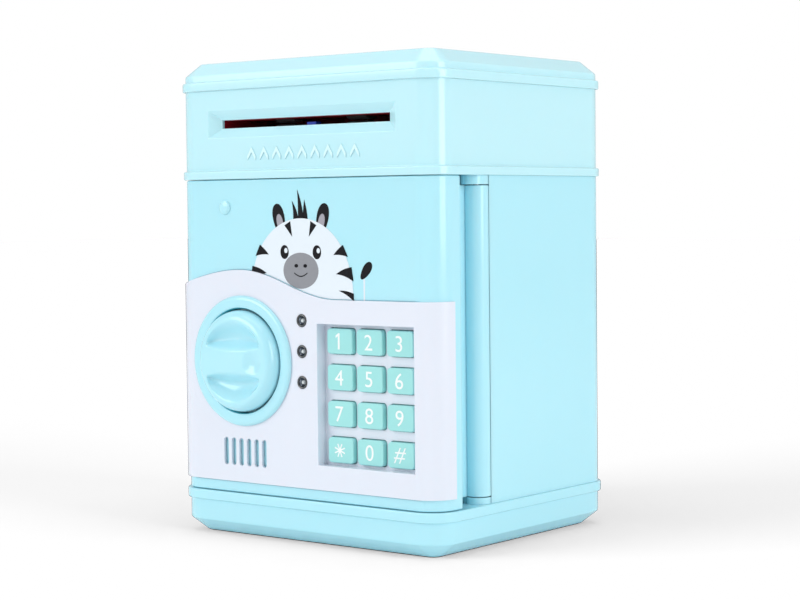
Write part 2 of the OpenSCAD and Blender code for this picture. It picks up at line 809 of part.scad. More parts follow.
module door_shell() {
    color(casing_blue)
    difference() {
        union() {
            difference() {
                translate([0, 0, door_z0]) linear_extrude(door_z1 - door_z0) intersection() {
                    outline();
                    door_region(door_back_y);
                }
                translate([0, 0, door_z0 + door_wall]) linear_extrude(door_z1 - door_z0 - 2 * door_wall)
                    intersection() {
                        outline(-door_wall);
                        door_region(door_back_y + 1);
                    }
            }
            // flange along the door's back edge, and the wall on it that carries the hinge barrel
            box([web_x0, door_back_y - door_wall, door_z0 + door_wall / 2],
                [side_x - door_wall / 2, door_back_y, door_z1 - door_wall / 2]);
            box([web_x0, door_back_y - door_wall, barrel_z0], [web_x0 + web_t, pivot[1] - 1, barrel_z1]);
            rod_z(pivot, barrel_r, barrel_z0, barrel_z1);
            for (p = door_posts) rod_y(p[0], p[1], 3.2, inner_y - tiny, cover_y);
        }
        rod_z(pivot, pin_r + running, barrel_z0 - 1, barrel_z1 + 1);
        for (p = door_posts) rod_y(p[0], p[1], screw_r, inner_y + 1, cover_y + 1);
        // keypad window
        box([window_x - window_w / 2 - skirt_t - fit, front_y - 3, window_z - window_h / 2 - skirt_t - fit],
            [window_x + window_w / 2 + skirt_t + fit, inner_y + 1, window_z + window_h / 2 + skirt_t + fit]);
        rod_y(knob_x, knob_z, well_r + cup_t + fit, front_y - 1, inner_y + 1);
        for (i = [-1:1]) rod_y(led_x, led_z + i * led_pitch, led_r + 0.1, front_y - 1, inner_y + 1);
        along_y(front_y - 1, inner_y + 1) grille(slit_w, slit_shift);
        rod_y(stud[0], stud[1], 1.5, front_y - 1, inner_y + 1);
    }
}

module grille(w, shift = 0) {
    for (i = [0:grille_slots - 1])
        translate([speaker_x + (i - (grille_slots - 1) / 2) * grille_pitch + shift, speaker_z]) {
            square([w, grille_slot_h - grille_slot_w], center = true);
            for (s = [-1, 1]) translate([0, s * (grille_slot_h - grille_slot_w) / 2]) circle(w / 2);
        }
}

function ease(t) = (1 - cos(180 * t)) / 2;

function panel_top(x) =
    x > hump_x ? panel_z1 + panel_hump * ease(max(0, 1 - (x - hump_x) / hump_run))
               : panel_z1 + panel_hump * ease(1 - (hump_x - x) / hump_fall);

module panel_outline() {
    steps = 40;
    reach = bank_w / 2 + panel_out + 1;
    polygon(concat(
        [[reach, panel_z0], [reach, panel_z1]],
        [for (i = [0:steps]) let (x = hump_x + hump_run - i * (hump_x + hump_run + reach) / steps) [x, panel_top(x)]],
        [[-reach, panel_z0]]
    ));
}

module control_panel() {
    color(panel_white)
    difference() {
        union() {
            intersection() {
                along_y(panel_y - 1, panel_end_y) panel_outline();
                difference() {
                    slab(panel_z0 - 1, panel_z1 + panel_hump + 1, panel_out);
                    slab(panel_z0 - 2, panel_z1 + panel_hump + 2);
                }
            }
            // skirt round the keypad
            intersection() {
                box([window_x - window_w / 2 - skirt_t, panel_y, window_z - window_h / 2 - skirt_t],
                    [window_x + window_w / 2 + skirt_t, plate_y, window_z + window_h / 2 + skirt_t]);
                slab(panel_z0, panel_z1 + panel_hump, panel_out);
            }
        }
        box([window_x - window_w / 2, panel_y - 1, window_z - window_h / 2],
            [window_x + window_w / 2, plate_y + 1, window_z + window_h / 2]);
        rod_y(knob_x, knob_z, well_r + cup_t + fit, panel_y - 1, inner_y);
        for (i = [-1:1]) rod_y(led_x, led_z + i * led_pitch, led_r + 0.1, panel_y - 1, inner_y);
        along_y(panel_y - 1, inner_y) grille(grille_slot_w);
    }
}

module dial_ring() {
    ring_f = -ring_y;
    panel_f = -panel_y;
    floor_f = -well_floor_y;
    color(casing_blue)
    lathe_y(knob_x, knob_z) difference() {
        union() {
            translate([well_r, panel_f]) square([ring_r - well_r, ring_out]);
            translate([well_r - tiny, floor_f - cup_t]) square([cup_t + tiny, ring_f - floor_f + cup_t - tiny]);
            translate([spindle_r + running, floor_f - cup_t]) square([well_r - spindle_r - running + tiny, cup_t]);
        }
        // rounded outer edge
        translate([ring_r - ring_out * 0.8, ring_f - ring_out * 0.8]) difference() {
            square(ring_out);
            circle(ring_out * 0.8);
        }
    }
}

module keypad_plate() {
    color(panel_white)
    difference() {
        box([window_x - window_w / 2 - skirt_t - 0.5, plate_y, window_z - window_h / 2 - skirt_t - 0.5],
            [window_x + window_w / 2 + skirt_t + 0.5, plate_y + plate_t, window_z + window_h / 2 + skirt_t + 0.5]);
        for (row = [0:3], col = [0:2])
            along_y(plate_y - 1, plate_y + plate_t + 1) translate(key_place(row, col))
                rounded_rect(key_w + 2 * key_gap, key_h + 2 * key_gap, 1.5);
    }
}

function key_place(row, col) = [window_x + (col - 1) * key_pitch_x, keypad_z + (1.5 - row) * key_pitch_z];

module key(row, col) {
    color(key_mint) {
        along_y(plate_y - key_out, key_flange_y + tiny) translate(key_place(row, col))
            rounded_rect(key_w, key_h, 1.2);
        along_y(key_flange_y, key_flange_y + key_flange_t) translate(key_place(row, col))
            square([min(key_w + 2 * flange_out, key_pitch_x - 0.3), key_h + 2 * flange_out], center = true);
    }
}

module keypad_mat() {
    color("lightgray")
    box([window_x - window_w / 2, mat_y, window_z - window_h / 2], [window_x + window_w / 2, mat_y + mat_t, window_z + window_h / 2]);
}

module circuit_board() {
    color("seagreen")
    box([led_x - 5, board_y, window_z - window_h / 2 - 2], [window_x + window_w / 2 + skirt_t, board_y + board_t, window_z + window_h / 2 + 4]);
}

module status_leds() {
    color([0.25, 0.28, 0.3])
    for (i = [-1:1]) let (z = led_z + i * led_pitch) {
        rod_y(led_x, z, led_r, panel_y - 0.3, inner_y + 2.2);
        rod_y(led_x, z, led_r + 0.4, inner_y + 0.05, inner_y + 0.9);
        for (sx = [-1, 1]) rod_y(led_x + sx * 1.27, z, 0.3, inner_y + 2.1, board_y);
    }
}

module speaker() {
    color("dimgray") {
        rod_y(speaker_x, speaker_z, speaker_r, inner_y + fit, inner_y + fit + 2);
        rod_y(speaker_x, speaker_z, speaker_r - 3, inner_y + fit, inner_y + fit + speaker_t);
    }
}

module lock_solenoid() {
    y0 = inner_y + 1;
    color(steel)
    difference() {
        box([knob_x - solenoid_size[0] / 2, y0, solenoid_z],
            [knob_x + solenoid_size[0] / 2, y0 + solenoid_size[1], solenoid_z + solenoid_size[2]]);
        translate([knob_x, disc_y + disc_t / 2, solenoid_z - 1]) cylinder(r = plunger_r + running, h = 15);
    }
}

module lock_plunger() {
    color(steel)
    translate([knob_x, disc_y + disc_t / 2, plunger_z]) {
        cylinder(r = plunger_r, h = solenoid_z - plunger_z + 8);
    }
}

module door_back_cover() {
    x0 = -side_x + door_wall + fit;
    x1 = web_x0 - fit;
    color(casing_blue)
    difference() {
        box([x0, cover_y, door_z0 + door_wall + fit], [x1, cover_y + cover_plate_t, door_z1 - door_wall - fit]);
        rod_y(knob_x, knob_z, spindle_r + running, cover_y - 1, cover_y + 3);
        for (p = door_posts) {
            rod_y(p[0], p[1], screw_r + hole_gap, cover_y - 1, cover_y + 3);
        }
    }
}

module door_screws() {
    color(steel)
    for (p = door_posts) translate([p[0], cover_y + cover_plate_t + 1, p[1]]) rotate([90, 0, 0]) union() {
        cylinder(r = screw_head_r, h = 1);
        cylinder(r = screw_r, h = 8);
    }
}

module door_stud() {
    color(casing_blue) {
        rod_y(stud[0], stud[1], 1.5, front_y - tiny, inner_y);
        lathe_y(stud[0], stud[1]) intersection() {
            translate([0, -front_y - 3.3]) circle(4.4);
            translate([0, -front_y]) square([stud_r, 2]);
        }
    }
}

// ---------------------------------------------------------------- knob and latch

module knob() {
    back = -knob_back_y;
    front = -knob_front_y;
    shoulder = -ring_y + 0.4;
    color(casing_blue)
    difference() {
        lathe_y(knob_x, knob_z) difference() {
            union() {
                translate([0, back]) square([knob_r, shoulder - back]);
                // rounded shoulder and gently domed face
                intersection() {
                    translate([0, shoulder - tiny]) square([knob_r, front - shoulder]);
                    union() {
                        translate([knob_r - 6.5, shoulder - 1.6]) circle(6.5);
                        translate([0, shoulder - tiny]) square([knob_r - 6.5, 5]);
                    }
                    translate([0, front - 90]) circle(90, $fn = 240);
                }
            }
        }
        // finger scoops over and under the grip
        for (s = [-1, 1])
            translate([knob_x, knob_front_y - 9.4, knob_z + s * 12.6]) sphere(12, $fn = 64);
        rod_y(knob_x, knob_z, spindle_r, knob_back_y - 3, knob_back_y + 1);
    }
}

module knob_spindle() {
    color(steel)
    difference() {
        rod_y(knob_x, knob_z, spindle_r, knob_back_y - 3, latch_y + latch_t);
        rod_y(knob_x, knob_z, screw_r, latch_y - 5, latch_y + latch_t + 1);
    }
}

// The lobe passes the plunger as the knob turns, and the plunger then keeps it from turning back
module lock_disc() {
    color("gold")
    difference() {
        union() {
            rod_y(knob_x, knob_z, disc_r, disc_y, disc_y + disc_t);
            along_y(disc_y, disc_y + disc_t) translate([knob_x, knob_z]) intersection() {
                circle(lobe_r);
                polygon([[0, 0], for (a = [-lobe_half, lobe_half]) 2 * lobe_r * [cos(45 + a), sin(45 + a)]]);
            }
        }
        rod_y(knob_x, knob_z, spindle_r, disc_y - 1, disc_y + disc_t + 1);
    }
}

module latch_tongue() {
    color("gold")
    difference() {
        along_y(latch_y, latch_y + latch_t) translate([knob_x, knob_z]) {
            circle(spindle_r + 2.2);
            translate([-latch_w / 2, 0]) square([latch_w, latch_len - latch_w / 2]);
            translate([0, latch_len - latch_w / 2]) circle(latch_w / 2);
        }
        rod_y(knob_x, knob_z, spindle_r, latch_y - 1, latch_y + latch_t + 1);
    }
}

module latch_screw() {
    color(steel)
    translate([knob_x, latch_y + latch_t + 1.2, knob_z]) rotate([90, 0, 0]) union() {
        cylinder(r = spindle_r + 1.5, h = 1.2);
        cylinder(r = screw_r, h = 5);
    }
}

roof_cap();
upper_casing();
slot_marks();
mechanism_deck();
body_shell();
base_tray();
base_plate();
battery_cover();
battery_screw();
batteries();
battery_contacts();
feeder_frame();
bill_sensor();
feed_motor();
motor_pinion();
idler_axle();
idler_gear();
feed_shaft();
feed_gear();
feed_rollers();
pinch_shaft();
pinch_rollers();
coin_chute();
hinge_pins();
head_screws();
base_screws();
feeder_screws();
door_shell();
control_panel();
dial_ring();
keypad_plate();
keypad_mat();
status_leds();
speaker();
circuit_board();
lock_solenoid();
door_back_cover();
door_screws();
door_stud();
lock_plunger();
knob();
knob_spindle();
lock_disc();
latch_tongue();
latch_screw();
for (row = [0:3], col = [0:2])
    key(row, col);
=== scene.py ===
"""Toy cash-machine savings bank: the visual model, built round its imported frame.

Each sub-assembly is a class with its sizes as fields. Lengths in fields are millimetres, as on a
drawing; meshes are metres, in the frame's own axes: +Z up, front towards -Y.
"""

from __future__ import annotations

import json
import logging
import math
from dataclasses import dataclass, field
from enum import Enum
from typing import Callable, Iterable, Sequence

import bmesh
import bpy
from mathutils import Matrix, Vector

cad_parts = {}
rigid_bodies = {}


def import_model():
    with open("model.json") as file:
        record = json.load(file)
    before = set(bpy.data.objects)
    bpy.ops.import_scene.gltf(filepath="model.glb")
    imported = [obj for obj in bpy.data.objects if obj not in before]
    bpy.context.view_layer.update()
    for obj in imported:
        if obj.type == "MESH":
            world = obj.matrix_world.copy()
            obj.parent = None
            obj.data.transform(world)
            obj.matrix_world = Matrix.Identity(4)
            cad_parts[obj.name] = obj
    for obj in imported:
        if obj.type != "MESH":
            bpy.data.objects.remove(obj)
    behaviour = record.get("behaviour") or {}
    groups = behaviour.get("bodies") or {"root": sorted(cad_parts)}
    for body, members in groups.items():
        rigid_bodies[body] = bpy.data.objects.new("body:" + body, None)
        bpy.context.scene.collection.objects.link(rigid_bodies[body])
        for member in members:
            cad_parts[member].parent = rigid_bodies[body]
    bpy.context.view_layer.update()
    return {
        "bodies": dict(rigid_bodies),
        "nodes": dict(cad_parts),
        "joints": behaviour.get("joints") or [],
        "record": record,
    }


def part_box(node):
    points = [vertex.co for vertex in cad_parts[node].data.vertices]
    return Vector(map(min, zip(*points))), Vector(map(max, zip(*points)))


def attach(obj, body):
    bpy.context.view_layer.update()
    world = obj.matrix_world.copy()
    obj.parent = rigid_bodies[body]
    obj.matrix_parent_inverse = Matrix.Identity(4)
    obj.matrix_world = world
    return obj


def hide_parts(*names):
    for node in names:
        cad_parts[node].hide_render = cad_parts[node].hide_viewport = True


log = logging.getLogger("savings_bank")

MM = 0.001
SMOOTH_ANGLE = math.radians(40)
CURVE_STEPS = 96
CORNER_STEPS = 14

Point = tuple[float, float, float]
Point2 = tuple[float, float]


class Axis(Enum):
    """The direction that a shape is drawn out or turned about."""

    X = 0
    Y = 1
    Z = 2


class Cut(Enum):
    """How one solid is combined with another."""

    TAKE_AWAY = "DIFFERENCE"
    ADD = "UNION"
    KEEP_COMMON = "INTERSECT"


# --------------------------------------------------------------------------- solids


def to_mesh_object(bm: bmesh.types.BMesh, name: str) -> bpy.types.Object:
    """Puts a bmesh into a new object at the origin and frees it.

    Args:
        bm: The finished shape, in metres.
        name: The object's name.

    Returns:
        The linked object, shaded smooth between its sharp edges.
    """
    mesh = bpy.data.meshes.new(name)
    bm.to_mesh(mesh)
    bm.free()
    mesh.shade_smooth()
    mesh.set_sharp_from_angle(angle=SMOOTH_ANGLE)
    made = bpy.data.objects.new(name, mesh)
    bpy.context.scene.collection.objects.link(made)
    return made


class Solid:
    """A closed shape being modelled; its methods take millimetres."""

    def __init__(self, bm: bmesh.types.BMesh | None = None) -> None:
        """Starts from a bmesh, or from nothing."""
        self.bm = bm or bmesh.new()

    @classmethod
    def block(cls, low: Point, high: Point) -> Solid:
        """A plain block between two corners."""
        made = cls()
        bmesh.ops.create_cube(made.bm, size=1.0)
        size = [(b - a) * MM for a, b in zip(low, high)]
        centre = [(a + b) / 2 * MM for a, b in zip(low, high)]
        bmesh.ops.scale(made.bm, vec=size, verts=made.bm.verts)
        bmesh.ops.translate(made.bm, vec=centre, verts=made.bm.verts)
        return made

    @classmethod
    def rounded_block(
        cls, low: Point, high: Point, radius: float, axis: Axis = Axis.Z, steps: int = CORNER_STEPS
    ) -> Solid:
        """A block whose four edges along one axis are rounded.

        Args:
            low: Lowest corner.
            high: Highest corner.
            radius: Radius of the four edges.
            axis: The axis that the rounded edges run along.
            steps: Facets in each rounded edge.
        """
        made = cls.block(low, high)
        edges = [
            e for e in made.bm.edges
            if abs((e.verts[0].co - e.verts[1].co).normalized()[axis.value]) > 0.99
        ]
        bmesh.ops.bevel(
            made.bm, geom=edges, offset=radius * MM, offset_type="OFFSET", affect="EDGES",
            segments=steps, profile=0.5, material=-1,
        )
        return made

    @classmethod
    def rod(cls, centre: Point, radius: float, length: float, axis: Axis, steps: int = 48) -> Solid:
        """A round rod that starts at a point and runs along an axis."""
        made = cls()
        bmesh.ops.create_cone(
            made.bm, cap_ends=True, segments=steps, radius1=radius * MM, radius2=radius * MM,
            depth=length * MM,
        )
        bmesh.ops.translate(made.bm, vec=(0, 0, length * MM / 2), verts=made.bm.verts)
        made._point_along(axis)
        bmesh.ops.translate(made.bm, vec=Vector(centre) * MM, verts=made.bm.verts)
        return made

    @classmethod
    def plate(cls, outline: Sequence[Point2], y_back: float, y_front: float) -> Solid:
        """A flat outline, drawn as (x, z), drawn out from its back to its front."""
        made = cls()
        verts = [made.bm.verts.new((x * MM, y_back * MM, z * MM)) for x, z in outline]
        face = made.bm.faces.new(verts)
        drawn = bmesh.ops.extrude_face_region(made.bm, geom=[face])
        moved = [g for g in drawn["geom"] if isinstance(g, bmesh.types.BMVert)]
        bmesh.ops.translate(made.bm, vec=(0, (y_front - y_back) * MM, 0), verts=moved)
        made._face_outwards()
        return made

    @classmethod
    def turned(cls, profile: Sequence[Point2], centre: Point, steps: int = CURVE_STEPS) -> Solid:
        """Spins a profile of (radius, distance forward) about an axis along Y.

        Args:
            profile: Points from the axis or inner edge round to the same; it is closed if its
                ends are off the axis.
            centre: A point on the axis; forward distances count from its y towards -Y.
            steps: Facets round the turn.
        """
        made = cls()
        verts = [made.bm.verts.new((r * MM, -f * MM, 0)) for r, f in profile]
        edges = [made.bm.edges.new(pair) for pair in zip(verts, verts[1:])]
        if profile[0][0] > 0 and profile[-1][0] > 0:
            edges.append(made.bm.edges.new((verts[-1], verts[0])))
        bmesh.ops.spin(
            made.bm, geom=verts + edges, cent=(0, 0, 0), axis=(0, 1, 0), dvec=(0, 0, 0),
            angle=2 * math.pi, steps=steps, use_merge=True, use_duplicate=False,
        )
        bmesh.ops.remove_doubles(made.bm, verts=made.bm.verts, dist=MM * 0.001)
        bmesh.ops.translate(made.bm, vec=Vector(centre) * MM, verts=made.bm.verts)
        made._face_outwards()
        return made

    @classmethod
    def terraces(cls, foot: tuple[Point, Point, float], rises: Sequence[Point2], up: bool = True) -> Solid:
        """A rounded slab whose top, or underside, steps inwards again and again.

        Args:
            foot: Lowest and highest corners and corner radius of the widest slab.
            rises: Pairs of (distance inwards, distance onwards) for each step after it.
            up: True if the steps go upwards.
        """
        low, high, radius = foot
        made = cls.rounded_block(low, high, radius)
        made.bm.faces.ensure_lookup_table()
        sign = 1.0 if up else -1.0
        face = max(made.bm.faces, key=lambda f: f.normal.z * sign)
        for inwards, onwards in rises:
            if inwards:
                bmesh.ops.inset_region(
                    made.bm, faces=[face], thickness=inwards * MM, depth=onwards * MM,
                    use_even_offset=True, use_boundary=True,
                )
            else:
                drawn = bmesh.ops.extrude_face_region(made.bm, geom=[face])
                moved = [g for g in drawn["geom"] if isinstance(g, bmesh.types.BMVert)]
                bmesh.ops.translate(made.bm, vec=(0, 0, sign * onwards * MM), verts=moved)
                bmesh.ops.delete(made.bm, geom=[face], context="FACES_ONLY")
                face = next(g for g in drawn["geom"] if isinstance(g, bmesh.types.BMFace))
        made._face_outwards()
        return made

    @classmethod
    def copy_of(cls, node: str) -> Solid:
        """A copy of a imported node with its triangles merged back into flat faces."""
        made = cls()
        made.bm.from_mesh(bpy.data.objects[node].data)
        bmesh.ops.remove_doubles(made.bm, verts=made.bm.verts, dist=MM * 0.002)
        bmesh.ops.dissolve_limit(
            made.bm, angle_limit=math.radians(0.5), verts=made.bm.verts, edges=made.bm.edges,
            use_dissolve_boundaries=False,
        )
        return made

    def _point_along(self, axis: Axis) -> None:
        """Turns a shape drawn along Z so that it runs along another axis."""
        if axis is Axis.X:
            bmesh.ops.rotate(self.bm, matrix=Matrix.Rotation(math.pi / 2, 3, "Y"), verts=self.bm.verts)
        elif axis is Axis.Y:
            bmesh.ops.rotate(self.bm, matrix=Matrix.Rotation(-math.pi / 2, 3, "X"), verts=self.bm.verts)

    def _face_outwards(self) -> None:
        """Makes every face point out of the solid."""
        bmesh.ops.recalc_face_normals(self.bm, faces=self.bm.faces)

    def combine(self, how: Cut, *others: Solid) -> Solid:
        """Adds, takes away or intersects other solids, which are used up.

        Args:
            how: What to do with the others.
            *others: Closed solids.

        Returns:
            This solid, for chaining.
        """
        for other in others:
            base, tool = to_mesh_object(self.bm, "work"), to_mesh_object(other.bm, "tool")
            modifier = base.modifiers.new("combine", "BOOLEAN")
            modifier.operation, modifier.solver, modifier.object = how.value, "EXACT", tool
            graph = bpy.context.evaluated_depsgraph_get()
            self.bm = bmesh.new()
            self.bm.from_mesh(base.evaluated_get(graph).to_mesh())
            for spent in (base, tool):
                mesh = spent.data
                bpy.data.objects.remove(spent)
                bpy.data.meshes.remove(mesh)
        bmesh.ops.remove_doubles(self.bm, verts=self.bm.verts, dist=MM * 0.002)
        bmesh.ops.dissolve_limit(
            self.bm, angle_limit=math.radians(0.4), verts=self.bm.verts, edges=self.bm.edges,
            use_dissolve_boundaries=False,
        )
        return self

    def soften(
        self, width: float, segments: int = 2, angle: float = 35,
        only: Callable[[bmesh.types.BMEdge], bool] | None = None,
    ) -> Solid:
        """Rounds the edges that are sharper than an angle.

        Args:
            width: Width of the rounding.
            segments: Facets across it.
            angle: Smallest angle, in degrees, between the faces of an edge that is rounded.
            only: A further test that an edge has to pass.
        """
        limit = math.radians(angle)
        edges = [
            e for e in self.bm.edges
            if len(e.link_faces) == 2 and e.calc_face_angle(0) > limit and (only is None or only(e))
        ]
        bmesh.ops.bevel(
            self.bm, geom=edges, offset=width * MM, offset_type="OFFSET", affect="EDGES",
            segments=segments, profile=0.5, material=-1, clamp_overlap=True,
        )
        return self

    def into(self, name: str) -> bpy.types.Object:
        """Makes the solid an object with smooth, weighted shading."""
        made = to_mesh_object(self.bm, name)
        weighted = made.modifiers.new("even shading", "WEIGHTED_NORMAL")
        weighted.keep_sharp, weighted.weight = True, 80
        return made


# --------------------------------------------------------------------------- finishes


@dataclass(frozen=True)
class Finish:
    """A procedural surface: colour with a slow drift, uneven gloss and a fine skin.

    Attributes:
        name: The material's name.
        slot: The record's material slot that it belongs to.
        colour: Base colour, linear RGB.
        drift: Colour that it drifts towards.
        roughness: Lowest and highest roughness.
        metallic: 1 for metal.
        coat: Weight of a clear top layer.
        skin: Strength of the fine bump.
        skin_scale: Bumps per metre.
        drift_scale: Patches of drift per metre.
        subsurface: Weight of light scattered inside.
        gloss: Strength of the mirror-like part; 0.5 is usual for plastic.
        stretch: Stretch of the skin along X, Y and Z, for brushed metal.
    """

    name: str
    slot: str
    colour: Point
    drift: Point
    roughness: tuple[float, float] = (0.2, 0.28)
    metallic: float = 0.0
    coat: float = 0.0
    skin: float = 0.05
    skin_scale: float = 900.0
    drift_scale: float = 25.0
    subsurface: float = 0.0
    gloss: float = 0.5
    stretch: Point = (1.0, 1.0, 1.0)

    def build(self) -> bpy.types.Material:
        """Makes the material's nodes.

        Returns:
            The material.
        """
        material = bpy.data.materials.new(self.name)
        material.use_nodes = True
        tree = material.node_tree
        shader = tree.nodes["Principled BSDF"]
        place = tree.nodes.new("ShaderNodeTexCoord").outputs["Object"]
        mapping = tree.nodes.new("ShaderNodeMapping")
        mapping.inputs["Scale"].default_value = self.stretch
        tree.links.new(place, mapping.inputs["Vector"])
        patches = self._noise(tree, place, self.drift_scale, 3)
        mix = tree.nodes.new("ShaderNodeMix")
        mix.data_type = "RGBA"
        mix.inputs["A"].default_value = (*self.colour, 1)
        mix.inputs["B"].default_value = (*self.drift, 1)
        tree.links.new(patches, mix.inputs["Factor"])
        tree.links.new(mix.outputs["Result"], shader.inputs["Base Color"])
        fine = self._noise(tree, mapping.outputs["Vector"], self.skin_scale, 4)
        span = tree.nodes.new("ShaderNodeMapRange")
        span.inputs["To Min"].default_value, span.inputs["To Max"].default_value = self.roughness
        tree.links.new(self._noise(tree, place, self.drift_scale * 4, 4), span.inputs["Value"])
        tree.links.new(span.outputs["Result"], shader.inputs["Roughness"])
        bump = tree.nodes.new("ShaderNodeBump")
        bump.inputs["Strength"].default_value = self.skin
        bump.inputs["Distance"].default_value = 0.0001
        tree.links.new(fine, bump.inputs["Height"])
        tree.links.new(bump.outputs["Normal"], shader.inputs["Normal"])
        shader.inputs["Metallic"].default_value = self.metallic
        shader.inputs["Specular IOR Level"].default_value = self.gloss
        shader.inputs["Coat Weight"].default_value = self.coat
        shader.inputs["Coat Roughness"].default_value = 0.08
        shader.inputs["Subsurface Weight"].default_value = self.subsurface
        shader.inputs["Subsurface Radius"].default_value = (0.5, 0.9, 1.0)
        shader.inputs["Subsurface Scale"].default_value = 0.002
        return material

    def _noise(
        self, tree: bpy.types.NodeTree, place: bpy.types.NodeSocket, scale: float, detail: float
    ) -> bpy.types.NodeSocket:
        """Adds a noise texture and returns its value output."""
        noise = tree.nodes.new("ShaderNodeTexNoise")
        noise.inputs["Scale"].default_value = scale
        noise.inputs["Detail"].default_value = detail
        tree.links.new(place, noise.inputs["Vector"])
        return noise.outputs["Fac"]


CASING_BLUE = Finish("casing blue plastic", "casing_blue", (0.46, 0.83, 0.94), (0.445, 0.82, 0.93),
                     (0.14, 0.2), coat=0.3, skin=0.06, subsurface=0.2)
# A lighter copy of the casing blue for the head and roof: painted light, standing for the brighter light that falls
# on them.
HEAD_BLUE_PAINTED_LIGHT = Finish("head blue painted light", "casing_blue", (0.54, 0.86, 0.94), (0.525, 0.85, 0.93),
                   (0.14, 0.2), coat=0.3, skin=0.06, subsurface=0.2)
PANEL_WHITE = Finish("panel white plastic", "panel_white", (0.77, 0.81, 0.91), (0.755, 0.80, 0.90),
                     (0.18, 0.24), coat=0.25, skin=0.05, subsurface=0.1)
KEY_MINT = Finish("key mint plastic", "key_mint", (0.36, 0.77, 0.76), (0.345, 0.755, 0.745),
                  (0.34, 0.42), skin=0.12, skin_scale=1500, subsurface=0.08)
KEY_PRINT = Finish("key print", "key_mint", (0.93, 0.97, 0.96), (0.9, 0.95, 0.94), (0.4, 0.5))
MARK_WHITE = Finish("raised marks", "mark_white", (0.66, 0.92, 0.97), (0.64, 0.9, 0.96), (0.3, 0.36))
# Dark teal painted shade: it stands for the deep shadow in the gap round the knob, on the well's sleeve and the
# knob's neck.
WELL_PAINTED_SHADE = Finish("well painted shade", "casing_blue", (0.02, 0.42, 0.52), (0.015, 0.38, 0.48), (0.3, 0.4))
FEEDER_RED = Finish("feeder dark red", "feeder_red", (0.42, 0.012, 0.03), (0.36, 0.01, 0.025), (0.3, 0.4))
SENSOR_BLUE = Finish("sensor blue", "sensor_blue", (0.01, 0.06, 0.55), (0.01, 0.04, 0.4), (0.15, 0.2))
ROLLER_GREY = Finish("roller rubber", "roller_grey", (0.09, 0.09, 0.095), (0.07, 0.07, 0.075),
                     (0.65, 0.8), skin=0.4, skin_scale=2500)
GEAR_WHITE = Finish("gear acetal", "gear_white", (0.8, 0.8, 0.76), (0.76, 0.76, 0.72), (0.4, 0.5))
BRASS = Finish("turned brass", "brass_part", (0.62, 0.42, 0.14), (0.56, 0.37, 0.12), (0.2, 0.32), 1.0,
               skin=0.1, skin_scale=1200)
STEEL = Finish("plated steel", "steel", (0.6, 0.61, 0.63), (0.52, 0.53, 0.56), (0.2, 0.34), 1.0,
               skin=0.12, skin_scale=700, stretch=(1.0, 1.0, 8.0))
BATTERY = Finish("battery sleeve", "battery_black", (0.02, 0.02, 0.024), (0.03, 0.03, 0.035), (0.2, 0.3))
MAT_RUBBER = Finish("silicone mat", "mat_rubber", (0.5, 0.52, 0.55), (0.46, 0.48, 0.51), (0.6, 0.7))
SPEAKER_BLACK = Finish("speaker basket", "speaker_black", (0.02, 0.02, 0.022), (0.03, 0.03, 0.03),
                       (0.5, 0.7))
BOARD_GREEN = Finish("solder mask", "board_green", (0.01, 0.12, 0.05), (0.012, 0.15, 0.06), (0.25, 0.35))
INK_BLACK = Finish("ink black", "casing_blue", (0.008, 0.008, 0.01), (0.012, 0.011, 0.014),
                   (0.22, 0.3), gloss=0.12)
INK_WHITE = Finish("ink white", "casing_blue", (0.78, 0.86, 0.93), (0.765, 0.85, 0.92),
                   (0.2, 0.26), coat=0.2)
INK_GREY = Finish("ink grey", "casing_blue", (0.27, 0.28, 0.31), (0.24, 0.25, 0.28), (0.3, 0.4),
                  drift_scale=600)
INK_LIGHT_GREY = Finish("ink light grey", "casing_blue", (0.36, 0.35, 0.40), (0.33, 0.32, 0.37),
                        (0.3, 0.4))
LENS = Finish("smoked lens", "led_lens", (0.03, 0.033, 0.036), (0.045, 0.05, 0.055),
              (0.06, 0.1), coat=1.0)
LED_CUP = Finish("light reflector", "led_lens", (0.22, 0.25, 0.3), (0.16, 0.19, 0.23), (0.1, 0.2), 1.0)
# Pale bead inside each status light: it stands for the chip, made large and pale as a painted glint.
LED_CHIP_PAINTED_GLINT = Finish("light bead painted glint", "led_lens", (0.8, 0.85, 0.86), (0.7, 0.76, 0.78), (0.25, 0.35))
FLOOR = Finish("pale floor", "", (0.93, 0.93, 0.93), (0.92, 0.92, 0.92), (0.6, 0.7), skin=0.0)


class Finishes:
    """The finishes already made, so that each is built once."""

    def __init__(self) -> None:
        """Starts with none made."""
        self._made: dict[str, bpy.types.Material] = {}

    def material(self, finish: Finish) -> bpy.types.Material:
        """Returns a finish's material, making it the first time."""
        if finish.name not in self._made:
            self._made[finish.name] = finish.build()
        return self._made[finish.name]


class Shop:
    """Hands finished pieces to the frame: finish, body and the node each stands for."""

    def __init__(self, frame: dict) -> None:
        """Keeps the loaded frame.
        """
        self.frame = frame
        self.finishes = Finishes()

    def deliver(
        self, piece: bpy.types.Object, finish: Finish, body: str, stands_for: Iterable[str] = ()
    ) -> bpy.types.Object:
        """Dresses a new piece and fixes it to its body."""
        piece.data.materials.clear()
        piece.data.materials.append(self.finishes.material(finish))
        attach(piece, body)
        nodes = list(stands_for)
        if nodes:
            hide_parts(*nodes)
        log.info("%s rides on %s%s", piece.name, body, f", for {', '.join(nodes)}" if nodes else "")
        return piece

    def dress(self, node: str, finish: Finish) -> None:
        """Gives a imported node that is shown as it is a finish."""
        piece = self.frame["nodes"][node]
        piece.data.materials.clear()
        piece.data.materials.append(self.finishes.material(finish))
        log.info("%s is shown as packed", node)

    def refine(self, node: str, finish: Finish, body: str, width: float) -> None:
        """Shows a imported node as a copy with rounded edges."""
        made = Solid.copy_of(node).soften(width, 2).into(node + "_moulded")
        self.deliver(made, finish, body, [node])


# --------------------------------------------------------------------------- casing


